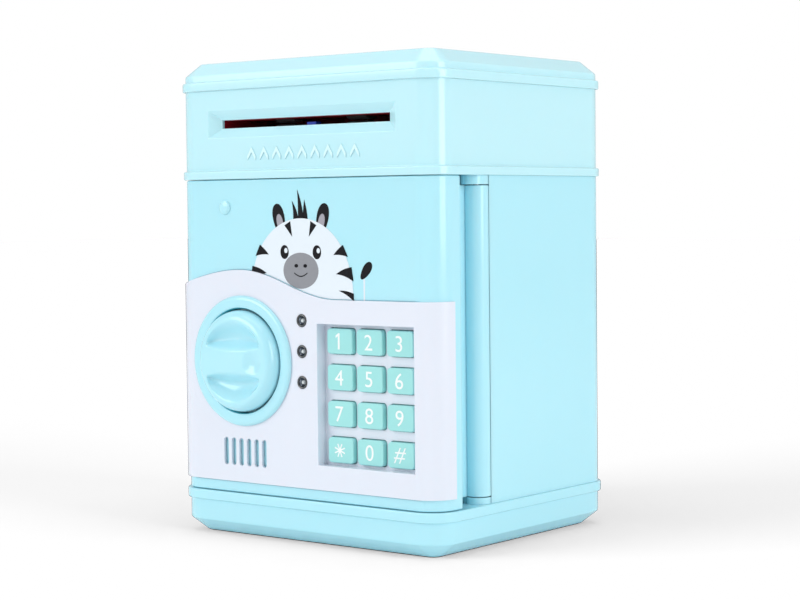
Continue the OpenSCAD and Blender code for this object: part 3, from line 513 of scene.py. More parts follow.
@dataclass
class Casing:
    """The fixed shell: roof, head, middle and base."""

    shop: Shop
    bead_out: float = 1.2
    corner_radius: float = 10.5
    wall: float = 2.4
    roof_lip: float = 3.5
    roof_band: float = 2.7
    roof_slope: Point2 = (6.4, 5.3)
    base_slope: Point2 = (7.0, 5.5)
    head_bead: float = 3.3
    base_bead: float = 3.9
    coin_slot: Point2 = (30.0, 4.8)
    slot_size: Point2 = (86.0, 3.3)
    surround: Point2 = (96.0, 11.0)
    surround_depth: float = 3.0
    slot_up: float = 22.0
    slot_wall: float = 4.4
    edge: float = 0.5

    def __post_init__(self) -> None:
        """Reads the overall sizes from the frame."""
        low, high = (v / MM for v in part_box("body_shell"))
        self.side, self.back = high.x, high.y
        self.base_top, self.door_top = low.z, high.z
        self.roof_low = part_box("upper_casing")[1].z / MM
        self.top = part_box("roof_cap")[1].z / MM

    def slab(self, z0: float, z1: float, out: float) -> tuple[Point, Point, float]:
        """Corners and radius of a slab of the casing's outline, moved out or in."""
        x, y = self.side + out, self.back + out
        return (-x, -y, z0), (x, y, z1), max(self.corner_radius + out, 1.0)

    def solid_slab(self, z0: float, z1: float, out: float) -> Solid:
        """A solid slab of the casing's outline."""
        return Solid.rounded_block(*self.slab(z0, z1, out))

    def build(self) -> None:
        """Makes the shell's pieces."""
        self._roof()
        self._head()
        self._base()
        self.shop.refine("body_shell", CASING_BLUE, "casing", 0.35)
        self.shop.refine("base_plate", CASING_BLUE, "casing", 0.3)
        self.shop.refine("battery_cover", CASING_BLUE, "casing", 0.25)
        self.shop.refine("slot_marks", MARK_WHITE, "casing", 0.12)
        self.shop.refine("mechanism_deck", CASING_BLUE, "casing", 0.3)
        self.shop.refine("coin_chute", CASING_BLUE, "casing", 0.3)

    def _roof(self) -> None:
        """The roof with its lip, sloping edge and coin slot."""
        z = self.roof_low
        rises = [(self.bead_out, 0), (0, self.roof_band), self.roof_slope]
        roof = Solid.terraces(self.slab(z, z + self.roof_lip, self.bead_out), rises)
        roof.soften(self.edge, 3, 25)
        slope_z = z + self.roof_lip + self.roof_band
        roof.combine(
            Cut.TAKE_AWAY,
            self.solid_slab(z - 1, slope_z - 1.2, -self.wall),
            self.solid_slab(slope_z - 2, self.top - self.wall, -self.wall - self.roof_slope[0]),
            self._coin_slot_tool(),
        )
        for side in (-1, 1):
            for y in (-20.0, 30.0):
                x = side * (self.side - self.wall - 0.9)
                roof.combine(Cut.ADD, Solid.block((x - 0.8, y - 6, z - 6), (x + 0.8, y + 6, z + 7)))
        # The roof is shown in the lighter copy of the casing blue: painted light.
        self.shop.deliver(roof.into("roof_cap_moulded"), HEAD_BLUE_PAINTED_LIGHT, "casing", ["roof_cap"])

    def _coin_slot_tool(self) -> Solid:
        """The slot for coins, with a flared mouth."""
        length, width = self.coin_slot
        y = sum(v.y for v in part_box("coin_chute")) / 2 / MM
        shaft = Solid.rounded_block(
            (-length / 2, y - width / 2, self.top - 8),
            (length / 2, y + width / 2, self.top + 4), 1.2, steps=5
        )
        mouth = Solid.rounded_block(
            (-length / 2 - 1, y - width / 2 - 1, self.top - 0.7),
            (length / 2 + 1, y + width / 2 + 1, self.top + 4),
            2.0, steps=5,
        )
        lowest = min(v.co.z for v in mouth.bm.verts)
        shrink = Matrix.Diagonal(((length - 0.2) / (length + 2), (width - 0.2) / (width + 2), 1)).to_3x3()
        middle = Vector((0, y * MM, 0))
        foot = [v for v in mouth.bm.verts if v.co.z < lowest + MM * 0.1]
        bmesh.ops.transform(mouth.bm, matrix=shrink.to_4x4(), space=Matrix.Translation(-middle), verts=foot)
        return shaft.combine(Cut.ADD, mouth)

    def _head(self) -> None:
        """The head with its bead and the banknote slot in a sloping surround."""
        z0, z1 = self.door_top, self.roof_low
        head = Solid.terraces(
            self.slab(z0, z0 + self.head_bead, self.bead_out),
            [(self.bead_out, 0), (0, z1 - z0 - self.head_bead)],
        )
        head.soften(self.edge, 3, 25, lambda e: min(v.co.z for v in e.verts) < (z1 - 1) * MM)
        head.combine(Cut.TAKE_AWAY, self.solid_slab(z0 - 1, z1 + 1, -self.wall))
        slot_z = z0 + self.slot_up
        half_w, half_h = self.surround[0] / 2, self.surround[1] / 2
        front = -self.back
        head.combine(
            Cut.ADD,
            Solid.block((-half_w - 0.4, front + 0.5, slot_z - half_h - 1.5),
                        (half_w + 0.4, front + self.slot_wall, slot_z + half_h + 1.5)),
        )
        head.combine(Cut.TAKE_AWAY, self._surround_tool(slot_z))
        w, h = self.slot_size
        head.combine(
            Cut.TAKE_AWAY,
            Solid.block((-w / 2, front - 1, slot_z - h / 2), (w / 2, front + self.slot_wall + 1, slot_z + h / 2)),
        )
        head.soften(0.22, 2, 20, lambda e: self._on_surround(e, slot_z))
        # The head is shown in the lighter copy of the casing blue: painted light.
        self.shop.deliver(head.into("upper_casing_moulded"), HEAD_BLUE_PAINTED_LIGHT, "casing", ["upper_casing"])

    def _on_surround(self, edge: bmesh.types.BMEdge, slot_z: float) -> bool:
        """True for the edges of the surround that show from the front."""
        middle = (edge.verts[0].co + edge.verts[1].co) / 2 / MM
        near = (abs(middle.z - slot_z) < self.surround[1] / 2 + 0.2
                and abs(middle.x) < self.surround[0] / 2 + 0.2)
        return near and middle.y < -self.back + self.surround_depth + 0.3

    def _surround_tool(self, slot_z: float) -> Solid:
        """The tapering recess round the banknote slot."""
        half_w, half_h = self.surround[0] / 2, self.surround[1] / 2
        front = -self.back
        tool = Solid.block((-half_w, front - 0.01, slot_z - half_h),
                           (half_w, front + self.surround_depth, slot_z + half_h))
        inner = [v for v in tool.bm.verts if v.co.y > front * MM + MM]
        shrink = Matrix.Diagonal(
            ((self.slot_size[0] + 0.6) / self.surround[0], 1, (self.slot_size[1] + 0.6) / self.surround[1])
        ).to_4x4()
        bmesh.ops.transform(
            tool.bm, matrix=shrink, space=Matrix.Translation(Vector((0, 0, -slot_z * MM))), verts=inner
        )
        return tool

    def _base(self) -> None:
        """The base tray with its bead and sloping edge."""
        top = self.base_top
        rises = [(self.bead_out, 0), (0, top - self.base_bead - self.base_slope[1]), self.base_slope]
        base = Solid.terraces(self.slab(top - self.base_bead, top, self.bead_out), rises, up=False)
        base.soften(self.edge, 3, 25)
        inset = self.base_slope[0] + 3
        base.combine(
            Cut.TAKE_AWAY,
            self.solid_slab(-1, 6.6, -inset),
            self.solid_slab(6.5, top - 1.5, -self.wall),
        )
        self.shop.deliver(base.into("base_tray_moulded"), CASING_BLUE, "casing", ["base_tray"])


# --------------------------------------------------------------------------- door


def eased(t: float) -> float:
    """A smooth step from 0 to 1."""
    return (1 - math.cos(math.pi * t)) / 2


@dataclass
class Door:
    """The wrap-around door with its control panel."""

    shop: Shop
    casing: Casing
    wall: float = 2.2
    panel_out: float = 1.2
    hump: float = 11.0
    hump_run: float = 48.6
    hump_fall: float = 62.0
    window: Point2 = (47.3, 54.7)
    skirt: float = 1.2
    led_radius: float = 2.5
    led_pitch: float = 12.0
    grille: tuple[int, float, float] = (6, 4.08, 11.0)
    grille_width: float = 2.4
    slit_width: float = 0.9
    ring_radius: float = 26.0
    well_radius: float = 21.1
    ring_out: float = 1.6
    cup_wall: float = 1.6
    barrel_radius: float = 4.9
    web: float = 2.4
    contact_groove: float = 0.35

    def __post_init__(self) -> None:
        """Reads the door's places from the frame."""
        low, high = (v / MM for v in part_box("door_shell"))
        self.z0, self.z1, self.front = low.z, high.z, low.y
        panel_low, panel_high = (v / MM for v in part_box("control_panel"))
        self.panel_y, self.panel_z0 = panel_low.y, panel_low.z
        self.panel_z1 = panel_high.z - self.hump
        self.panel_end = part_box("control_panel")[1].y / MM
        ring_low, ring_high = (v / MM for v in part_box("dial_ring"))
        self.knob_x, self.knob_z = (ring_low.x + ring_high.x) / 2, (ring_low.z + ring_high.z) / 2
        plate_low, plate_high = (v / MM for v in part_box("keypad_plate"))
        self.window_x = (plate_low.x + plate_high.x) / 2
        self.window_z = (plate_low.z + plate_high.z) / 2
        self.plate_y = plate_low.y
        cover_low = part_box("door_back_cover")[1] / MM
        self.back = cover_low.y
        leds_low, leds_high = (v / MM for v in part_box("status_leds"))
        self.led_x, self.led_z = (leds_low.x + leds_high.x) / 2, (leds_low.z + leds_high.z) / 2
        speaker_low, speaker_high = (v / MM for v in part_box("speaker"))
        self.speaker = (speaker_low.x + speaker_high.x) / 2, (speaker_low.z + speaker_high.z) / 2

    def build(self) -> None:
        """Makes the door's own pieces."""
        self._shell()
        self._panel()
        self._ring()
        self._stud()
        self._lights()
        self.shop.refine("keypad_plate", PANEL_WHITE, "door", 0.25)
        self.shop.refine("door_back_cover", CASING_BLUE, "door", 0.3)

    def _openings(self, y0: float, y1: float, skirt: float, slit: bool = False) -> list[Solid]:
        """Tools for the openings through the panel and the door.

        Args:
            y0: Front of the tools.
            y1: Back of the tools.
            skirt: Room left round the keypad window.
            slit: True for the narrow slits behind the panel's grille slots.
        """
        half_w, half_h = self.window[0] / 2 + skirt, self.window[1] / 2 + skirt
        tools = [
            Solid.block((self.window_x - half_w, y0, self.window_z - half_h),
                        (self.window_x + half_w, y1, self.window_z + half_h)),
            Solid.rod((self.knob_x, y0, self.knob_z), self.well_radius + self.cup_wall + 0.1, y1 - y0, Axis.Y, 96),
        ]
        for i in (-1, 0, 1):
            z = self.led_z + i * self.led_pitch
            tools.append(Solid.rod((self.led_x, y0, z), self.led_radius + 0.1, y1 - y0, Axis.Y, 40))
        count, pitch, height = self.grille
        width = self.slit_width if slit else self.grille_width
        shift = (self.grille_width - width) / 2 - 0.1 if slit else 0.0
        end = (height - self.grille_width + width) / 2
        for i in range(count):
            x = self.speaker[0] + (i - (count - 1) / 2) * pitch + shift
            z = self.speaker[1]
            tools.append(Solid.rounded_block(
                (x - width / 2, y0, z - end), (x + width / 2, y1, z + end), width / 2 - 0.01, Axis.Y, 8,
            ))
        return tools

    def _shell(self) -> None:
        """The door's tray with the wall and barrel of its hinge."""
        casing, back = self.casing, self.back
        reach = casing.side + 5
        shell = casing.solid_slab(self.z0, self.z1, 0)
        shell.combine(Cut.KEEP_COMMON, Solid.block((-reach, self.front - 5, self.z0 - 5), (reach, back, self.z1 + 5)))
        shell.soften(0.6, 3, 40)
        hollow = casing.solid_slab(self.z0 + self.wall, self.z1 - self.wall, -self.wall)
        shell.combine(Cut.TAKE_AWAY, hollow)
        pins = [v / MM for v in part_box("hinge_pins")]
        pivot = (pins[0].x + pins[1].x) / 2, (pins[0].y + pins[1].y) / 2
        low, high = self._barrel_ends()
        web_x = pivot[0] - self.barrel_radius + 0.3
        web = Solid.block((web_x, back - self.wall, low), (web_x + self.web, pivot[1] - 1, high))
        flange = Solid.block((web_x, back - self.wall, self.z0 + self.wall / 2),
                             (casing.side - self.wall / 2, back, self.z1 - self.wall / 2))
        barrel = Solid.rod((*pivot, low), self.barrel_radius, high - low, Axis.Z, 64)
        barrel.soften(0.4, 2, 50)
        shell.combine(Cut.ADD, flange, web, barrel)
        bore = Solid.rod((*pivot, low - 1), 1.26, high - low + 2, Axis.Z, 32)
        openings = self._openings(self.front - 2, self.front + self.wall + 1, self.skirt + 0.1, slit=True)
        groove = self.contact_groove
        seat = Solid.plate(self._panel_outline(groove), self.front + groove, self.front - 2)
        shell.combine(Cut.TAKE_AWAY, bore, seat, *openings)
        self.shop.deliver(shell.into("door_shell_moulded"), CASING_BLUE, "door", ["door_shell"])

    def _barrel_ends(self) -> Point2:
        """Heights of the barrel's ends, between the casing's knuckles."""
        return self.casing.base_top + 2.9, self.casing.door_top - 3.8

    def _panel_top(self, x: float) -> float:
        """Height of the panel's top edge at a place across the door."""
        hump_x = self.knob_x - 0.9
        if x > hump_x:
            return self.panel_z1 + self.hump * eased(max(0.0, 1 - (x - hump_x) / self.hump_run))
        return self.panel_z1 + self.hump * eased(1 - (hump_x - x) / self.hump_fall)

    def _panel_outline(self, margin: float) -> list[Point2]:
        """The panel's outline from the front, grown at its top and bottom by a margin."""
        reach = self.casing.side + self.panel_out + 2
        steps = 56
        last = self.knob_x - 0.9 + self.hump_run
        top = [last - i * (last + reach) / steps for i in range(steps + 1)]
        return [(reach, self.panel_z0 - margin), (reach, self.panel_z1 + margin),
                *[(x, self._panel_top(x) + margin) for x in top], (-reach, self.panel_z0 - margin)]

    def _panel(self) -> None:
        """The white control panel with its flowing top edge."""
        panel = Solid.plate(self._panel_outline(0.0), self.panel_end, self.panel_y - 2)
        panel.combine(Cut.KEEP_COMMON, self.casing.solid_slab(self.panel_z0 - 2, self.panel_z1 + 20, self.panel_out))
        panel.combine(Cut.TAKE_AWAY, self.casing.solid_slab(self.panel_z0 - 3, self.panel_z1 + 21, 0))
        half_w, half_h = self.window[0] / 2 + self.skirt, self.window[1] / 2 + self.skirt
        panel.combine(
            Cut.ADD,
            Solid.block((self.window_x - half_w, self.panel_y + 0.6, self.window_z - half_h),
                        (self.window_x + half_w, self.plate_y, self.window_z + half_h)),
        )
        panel.combine(Cut.TAKE_AWAY, *self._openings(self.panel_y - 2, self.front + self.wall + 2.5, 0))
        panel.soften(0.5, 3, 50, self._on_panel_rim)
        panel.soften(0.3, 2, 50, self._on_panel_face)
        panel.soften(self.contact_groove, 1, 50, self._on_panel_back)
        self.shop.deliver(panel.into("control_panel_moulded"), PANEL_WHITE, "door", ["control_panel"])

    def _on_panel_rim(self, edge: bmesh.types.BMEdge) -> bool:
        """True for the edges round the outside of the panel."""
        outside = all(self._outside_by(v) > self.panel_out / 2 for v in edge.verts)
        return outside and max(v.co.y for v in edge.verts) < (self.panel_end - 0.2) * MM

    def _on_panel_back(self, edge: bmesh.types.BMEdge) -> bool:
        """True for the top and bottom edges that lie on the door, which get a groove."""
        touching = all(abs(self._outside_by(v)) < 0.05 for v in edge.verts)
        ends = all(v.co.z / MM > self.panel_z1 - 0.05 or v.co.z / MM < self.panel_z0 + 0.05 for v in edge.verts)
        return touching and ends and max(v.co.y for v in edge.verts) < (self.panel_end - 0.2) * MM

    def _outside_by(self, vert: bmesh.types.BMVert) -> float:
        """How far a corner of the mesh lies outside the casing's outline."""
        radius = self.casing.corner_radius
        across = abs(vert.co.x) / MM - (self.casing.side - radius)
        forward = (self.front + radius) - vert.co.y / MM
        if across > 0 and forward > 0:
            return math.hypot(across, forward) - radius
        return max(across, forward) - radius

    def _on_panel_face(self, edge: bmesh.types.BMEdge) -> bool:
        """True for the edges of the openings in the panel's face."""
        return all(abs(v.co.y / MM - self.panel_y) < 0.02 for v in edge.verts)

    def _ring(self) -> None:
        """The ring round the knob, with the cup that the knob turns in and a thin dark teal sleeve of painted shade
        inside its well.
        """
        face, panel = self.ring_out, 0.0
        well = self.well_radius
        floor = self.ring_out - 4.6
        profile = [
            (self.ring_radius - self.contact_groove, panel), (self.ring_radius, self.contact_groove),
            (self.ring_radius - 0.05, face * 0.35), (self.ring_radius - 0.45, face * 0.72),
            (self.ring_radius - 1.1, face * 0.93), (self.ring_radius - 1.9, face), (well + 0.5, face - 0.06),
            (well + 0.14, face - 0.2), (well, face - 0.55), (well, floor), (4.06, floor),
            (4.06, floor - self.cup_wall), (well + self.cup_wall, floor - self.cup_wall),
            (well + self.cup_wall, panel),
        ]
        ring = Solid.turned(profile, (self.knob_x, self.panel_y, self.knob_z), 128)
        self.shop.deliver(ring.into("dial_ring_moulded"), CASING_BLUE, "door", ["dial_ring"])
        # A thin sleeve inside the well in dark teal painted shade, for the shadowed gap round the knob.
        inner = well - 0.25
        liner = [(well + 0.02, face - 0.9), (inner, face - 1.1), (inner, floor - 0.02), (well + 0.02, floor - 0.02)]
        sleeve = Solid.turned(liner, (self.knob_x, self.panel_y, self.knob_z), 128)
        self.shop.deliver(sleeve.into("dial_well_sleeve"), WELL_PAINTED_SHADE, "door")

    def _stud(self) -> None:
        """The small domed stud near the door's top corner."""
        low, high = (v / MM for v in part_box("door_stud"))
        radius, proud = (high.x - low.x) / 2, self.front - low.y
        steps = 8
        dome = [
            (radius * math.sin(math.pi / 2 * i / steps),
             proud * (0.25 + 0.75 * math.cos(math.pi / 2 * i / steps)))
            for i in range(steps + 1)
        ]
        stud = Solid.turned([*dome, (radius, 0), (1.5, 0), (1.5, -2.0), (0, -2.0)],
                            ((low.x + high.x) / 2, self.front, (low.z + high.z) / 2), 40)
        self.shop.deliver(stud.into("door_stud_moulded"), CASING_BLUE, "door", ["door_stud"])

    def _lights(self) -> None:
        """The three status lights: a dark rim round a bright cup with a pale bead in it; the bead stands for the
        light's chip, and its pale colour is a painted glint.
        """
        steps, bead_steps = 8, 12
        rim_height, bead_radius, bead_depth = 0.3, 0.85, 1.0
        radius, inner = self.led_radius, self.led_radius - 0.75
        rim = [
            (inner + (radius - inner) / 2 * (1 - math.cos(math.pi * i / steps)),
             rim_height * math.sin(math.pi * i / steps))
            for i in range(steps + 1)
        ]
        cup = [(0, -1.6), (0.7, -1.6), (inner - 0.05, -0.35), (inner - 0.05, -4.8), (0, -4.8)]
        bead = [
            (bead_radius * math.sin(math.pi * i / bead_steps),
             bead_radius * math.cos(math.pi * i / bead_steps) - bead_depth)
            for i in range(bead_steps + 1)
        ]
        for i, name in zip((1, 0, -1), ("upper", "middle", "lower")):
            place = (self.led_x, self.panel_y, self.led_z + i * self.led_pitch)
            lens = Solid.turned([*rim, (radius, -5.0), (inner, -5.0)], place, 48)
            self.shop.deliver(lens.into(f"status_led_{name}"), LENS, "door", ["status_leds"])
            self.shop.deliver(Solid.turned(cup, place, 40).into(f"status_cup_{name}"), LED_CUP, "door")
            self.shop.deliver(Solid.turned(bead, place, 24).into(f"status_bead_{name}"), LED_CHIP_PAINTED_GLINT, "door")


# --------------------------------------------------------------------------- knob and keys


@dataclass
class Knob:
    """The turning knob, with a waisted grip between two finger scoops."""

    shop: Shop
    radius: float = 20.2
    face_radius: float = 16.6
    side: float = 4.2
    proud: float = 10.2
    waist: float = 3.9
    flare: float = 3.0
    scoop_depth: float = 4.6
    scoop_reach: float = 13.9
    deepest: float = 0.42
    undercut: float = 1.0
    dimple: tuple[float, float, float] = (10.6, 5.0, 1.2)

    def build(self) -> None:
        """Makes the knob from a turned blank whose face is then pushed in, with a neck behind it in dark teal painted
        shade.
        """
        low, high = (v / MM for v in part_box("knob"))
        self.radius = (high.x - low.x) / 2
        self.proud = high.y - low.y
        centre = ((low.x + high.x) / 2, high.y, (low.z + high.z) / 2)
        self.side = self.proud - 6.4
        blank = Solid.turned(self._profile(), centre, 240)
        for vert in blank.bm.verts:
            x, z = vert.co.x / MM - centre[0], vert.co.z / MM - centre[2]
            depth = self._depth(x, z)
            if vert.co.y / MM < centre[1] - self.side and depth > 0:
                vert.co.y += depth * MM
        self.shop.deliver(blank.into("knob_moulded"), CASING_BLUE, "knob", ["knob"])
        # The neck behind the knob's undercut is coloured dark teal: painted shade for the shadowed gap round the
        # knob.
        wide, top = self.radius - self.undercut, self.side - self.undercut
        neck = Solid.turned([(0, top), (wide, top), (wide, 0.3), (wide - 0.3, 0), (0, 0)], centre, 128)
        self.shop.deliver(neck.into("knob_neck"), WELL_PAINTED_SHADE, "knob")

    def _profile(self) -> list[Point2]:
        """The blank's profile, from the middle of its face round to the back."""
        rings = 80
        shoulder = self.radius - self.face_radius
        edge_f = self.proud - 0.9
        crown = 0.9  # fall of the domed face from its middle to its edge
        face = [(self.face_radius * i / rings, self.proud - crown * (i / rings) ** 2) for i in range(rings + 1)]
        drop = edge_f - self.side
        steps = 14
        curve = [
            (self.face_radius + shoulder * math.sin(math.pi / 2 * i / steps),
             self.side + drop * math.cos(math.pi / 2 * i / steps))
            for i in range(1, steps + 1)
        ]
        under = self.side - self.undercut
        foot = [(self.radius, self.side - 0.3), (self.radius - self.undercut, under), (0, under)]
        return [*face, *curve, *foot]

    def _depth(self, x: float, z: float) -> float:
        """How far the face is pushed in at a place on it, from the knob's middle."""
        reach = self.face_radius - 0.4
        if abs(x) >= reach or abs(z) >= reach:
            return 0.0
        rim = math.sqrt(max(reach * reach - x * x, 0.0))
        edge = self.waist + self.flare * abs(x / reach) ** 3
        depth = 0.0
        if edge < abs(z) < rim:
            s = (abs(z) - edge) / (rim - edge)
            along = max(0.0, 1 - (x / self.scoop_reach) ** 2) ** 0.4
            if s < self.deepest:
                across = eased(s / self.deepest)
            else:
                across = math.cos(math.pi / 2 * (s - self.deepest) / (1 - self.deepest)) ** 1.3
            depth = self.scoop_depth * along * across
        cx, cr, cd = self.dimple
        far = math.hypot(x - cx, z) / cr
        if far < 1:
            depth += cd * (1 - far * far) ** 1.5
        return depth


@dataclass
class Keypad:
    """Twelve printed keys in their recess."""

    shop: Shop
    corner: float = 1.5
    edge: float = 0.45
    print_height: float = 8.6
    print_thickness: float = 0.06
    print_widening: float = 1.04
    signs: dict[str, str] = field(default_factory=lambda: {
        **{f"key_{i}": str(i) for i in range(10)}, "key_star": "*", "key_hash": "#"
    })

    def build(self) -> None:
        """Makes every key and its numeral."""
        for node, sign in self.signs.items():
            low, high = (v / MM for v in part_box(node))
            self._key(node, low, high)
            self._numeral(node, sign, low, high)

    def _key(self, node: str, low: Vector, high: Vector) -> None:
        """One key: a rounded cap with soft edges, on a plain flange."""
        flange = 0.8
        cap_low = (low.x + flange, low.y, low.z + flange)
        cap_high = (high.x - flange, high.y - 0.9, high.z - flange)
        cap = Solid.rounded_block(cap_low, cap_high, self.corner, Axis.Y, 6)
        cap.soften(self.edge, 4, 60)
        cap.combine(Cut.ADD, Solid.block((low.x, high.y - 1, low.z), (high.x, high.y, high.z)))
        self.shop.deliver(cap.into(node + "_cap"), KEY_MINT, node, [node])

    def _numeral(self, node: str, sign: str, low: Vector, high: Vector) -> None:
        """The sign printed on a key."""
        middle = ((low.x + high.x) / 2 - 0.4, low.y, (low.z + high.z) / 2)
        if sign == "*":
            piece = self._star(node + "_print", middle)
        elif sign == "1":
            piece = self._one(node + "_print", middle)
        else:
            piece = self._letter(node + "_print", sign, middle)
        self.shop.deliver(piece, KEY_PRINT, node)

    def _letter(self, name: str, sign: str, middle: Point) -> bpy.types.Object:
        """A sign from the built-in typeface, as a thin raised print."""
        text = bpy.data.curves.new(name, "FONT")
        text.body, text.size = sign, self.print_height * MM
        text.align_x, text.align_y = "CENTER", "CENTER"
        text.extrude = self.print_thickness * MM
        text.offset = -0.00001
        text.shear = 0.25 if sign == "#" else 0.0
        holder = bpy.data.objects.new(name + "_text", text)
        bpy.context.scene.collection.objects.link(holder)
        graph = bpy.context.evaluated_depsgraph_get()
        mesh = bpy.data.meshes.new_from_object(holder.evaluated_get(graph))
        bpy.data.objects.remove(holder)
        xs, ys = [v.co.x for v in mesh.vertices], [v.co.y for v in mesh.vertices]
        centre = Vector(((min(xs) + max(xs)) / 2, (min(ys) + max(ys)) / 2, 0))
        widened = Matrix.Diagonal((self.print_widening, 1, 1, 1))
        upright = Matrix.Rotation(math.pi / 2, 4, "X") @ widened @ Matrix.Translation(-centre)
        mesh.transform(Matrix.Translation(Vector(middle) * MM) @ upright)
        mesh.name = name
        made = bpy.data.objects.new(name, mesh)
        bpy.context.scene.collection.objects.link(made)
        return made

    def _one(self, name: str, middle: Point) -> bpy.types.Object:
        """A one with a flag, as one outline."""
        outline = [(0.5, -3.1), (0.5, 3.1), (-0.25, 3.1), (-1.5, 2.15), (-1.5, 1.3), (-0.4, 1.95), (-0.4, -3.1)]
        thick = self.print_thickness
        points = [(middle[0] + x, middle[2] + z) for x, z in outline[::-1]]
        return Solid.plate(points, middle[1] + thick, middle[1] - thick).into(name)

    def _star(self, name: str, middle: Point) -> bpy.types.Object:
        """An asterisk of eight arms, as one outline."""
        reach, half, arms = 2.7, 0.27, 8
        outline = []
        for i in range(arms):
            turn = 2 * math.pi * (i + 0.5) / arms
            along, aside = (math.cos(turn), math.sin(turn)), (-math.sin(turn), math.cos(turn))
            for side in (-half, half):
                outline.append((middle[0] + along[0] * reach + aside[0] * side,
                                middle[2] + along[1] * reach + aside[1] * side))
            notch, between = half / math.sin(math.pi / arms), turn + math.pi / arms
            outline.append((middle[0] + notch * math.cos(between), middle[2] + notch * math.sin(between)))
        thick = self.print_thickness
        return Solid.plate(outline, middle[1] + thick, middle[1] - thick).into(name)


# --------------------------------------------------------------------------- printed animal


@dataclass
class PrintedAnimal:
    """A plain striped animal's head printed on the door, in thin layers of ink."""

    shop: Shop
    door: Door
    centre_x: float = 0.6
    layer: float = 0.05

    def build(self) -> None:
        """Prints the head, ears, mane, stripes, eyes, muzzle and tail."""
        self._ink("print_mane", INK_BLACK, 1, self._mane())
        self._ink("print_ears", INK_BLACK, 1, [self._leaf(s * 11.0, 126.6, 3.6, 6.6, -s * 14) for s in (-1, 1)])
        self._ink("print_ear_linings", INK_LIGHT_GREY, 2,
                  [self._leaf(s * 10.4, 124.9, 1.9, 4.2, -s * 14) for s in (-1, 1)])
        self._ink("print_head", INK_WHITE, 3, [self._dome()])
        self._ink("print_stripes", INK_BLACK, 4, self._stripes())
        self._ink("print_muzzle", INK_GREY, 4, [self._oval(0, 107.0, 9.0, 7.0)])
        self._ink("print_eyes", INK_BLACK, 5, [self._oval(s * 8.3, 114.2, 2.1, 2.7) for s in (-1, 1)])
        self._ink("print_eye_glints", INK_WHITE, 6, [self._oval(s * 8.3 + 0.8, 114.8, 0.85, 1.0) for s in (-1, 1)])
        self._ink("print_nostrils", INK_BLACK, 5, [self._oval(s * 2.3, 108.9, 0.95, 0.7) for s in (-1, 1)])
        self._ink("print_mouth", INK_BLACK, 5, [self._smile()])
        self._ink("print_tail", INK_BLACK, 1, [self._leaf(32.5, 107.3, 2.3, 4.0, -38)])
        self._ink("print_tail_stem", INK_WHITE, 1, [self._bar(31.2, 95.9, 31.9, 104.2)])

    def _ink(self, name: str, finish: Finish, level: int, outlines: list[list[Point2]]) -> None:
        """Prints outlines as one thin layer that stands on the door's face."""
        whole = Solid()
        for outline in outlines:
            points = [(x + self.centre_x, z) for x, z in outline]
            part = Solid.plate(points, self.door.front + 0.05, self.door.front - self.layer * level)
            mesh = bpy.data.meshes.new("ink")
            part.bm.to_mesh(mesh)
            part.bm.free()
            whole.bm.from_mesh(mesh)
            bpy.data.meshes.remove(mesh)
        self.shop.deliver(whole.into(name), finish, "door")

    def _above_panel(self, x: float, z: float) -> Point2:
        """Keeps a point out from under the panel."""
        return x, max(z, self.door._panel_top(x + self.centre_x) + self.door.contact_groove)

    def _dome(self) -> list[Point2]:
        """The head: a dome that ends at the panel's edge."""
        steps = 48
        half, low, high = 26.4, 100.0, 127.3
        arc = []
        for i in range(steps + 1):
            a = math.pi * i / steps
            x = half * math.cos(a)
            z = low - 7 + (high - low + 7) * math.sin(a) ** 0.82
            arc.append(self._above_panel(x, z))
        foot = [self._above_panel(-half + 2 * half * i / steps, 0) for i in range(1, steps)]
        return arc + foot

    def _oval(self, x: float, z: float, rx: float, rz: float) -> list[Point2]:
        """An ellipse, kept above the panel."""
        steps = 40
        turns = (2 * math.pi * i / steps for i in range(steps))
        return [self._above_panel(x + rx * math.cos(a), z + rz * math.sin(a)) for a in turns]

    def _leaf(self, x: float, z: float, rx: float, rz: float, lean: float) -> list[Point2]:
        """An ellipse narrowed towards its foot and leaned over, in degrees."""
        steps, outline = 32, []
        lean_r = math.radians(lean)
        for i in range(steps):
            a = 2 * math.pi * i / steps
            up = math.sin(a) * rz
            across = math.cos(a) * rx * (0.82 + 0.18 * math.sin(a))
            outline.append((x + across * math.cos(lean_r) + up * -math.sin(lean_r),
                            z + across * math.sin(lean_r) + up * math.cos(lean_r)))
        return outline

    def _bar(self, x0: float, z0: float, x1: float, z1: float) -> list[Point2]:
        """A rectangle between two corners."""
        return [(x0, z0), (x1, z0), (x1, z1), (x0, z1)]

    def _mane(self) -> list[list[Point2]]:
        """Three tufts of hair on the crown."""
        tufts = []
        for foot, tip, width in ((-2.4, (-4.4, 134.2), 2.6), (0.1, (-1.6, 138.6), 2.8), (2.4, (2.0, 134.6), 2.6)):
            steps = 10
            left, right = [], []
            for i in range(steps + 1):
                t = i / steps
                x = foot + (tip[0] - foot) * t * t
                z = 126.4 + (tip[1] - 126.4) * t
                half = width / 2 * (1 - t ** 1.6)
                left.append((x - half, z))
                right.append((x + half, z))
            tufts.append(right + left[::-1][1:])
        return tufts

    def _wedge(self, tip: Point2, top: Point2, bottom: Point2, bow: float) -> list[Point2]:
        """A pointed stripe with bowed sides."""
        outline = []
        for start, end, sign in ((tip, top, 1), (top, bottom, 0), (bottom, tip, 1)):
            steps = 8
            for i in range(steps):
                t = i / steps
                x = start[0] + (end[0] - start[0]) * t
                z = start[1] + (end[1] - start[1]) * t + sign * bow * math.sin(math.pi * t)
                outline.append((x, z))
        return outline

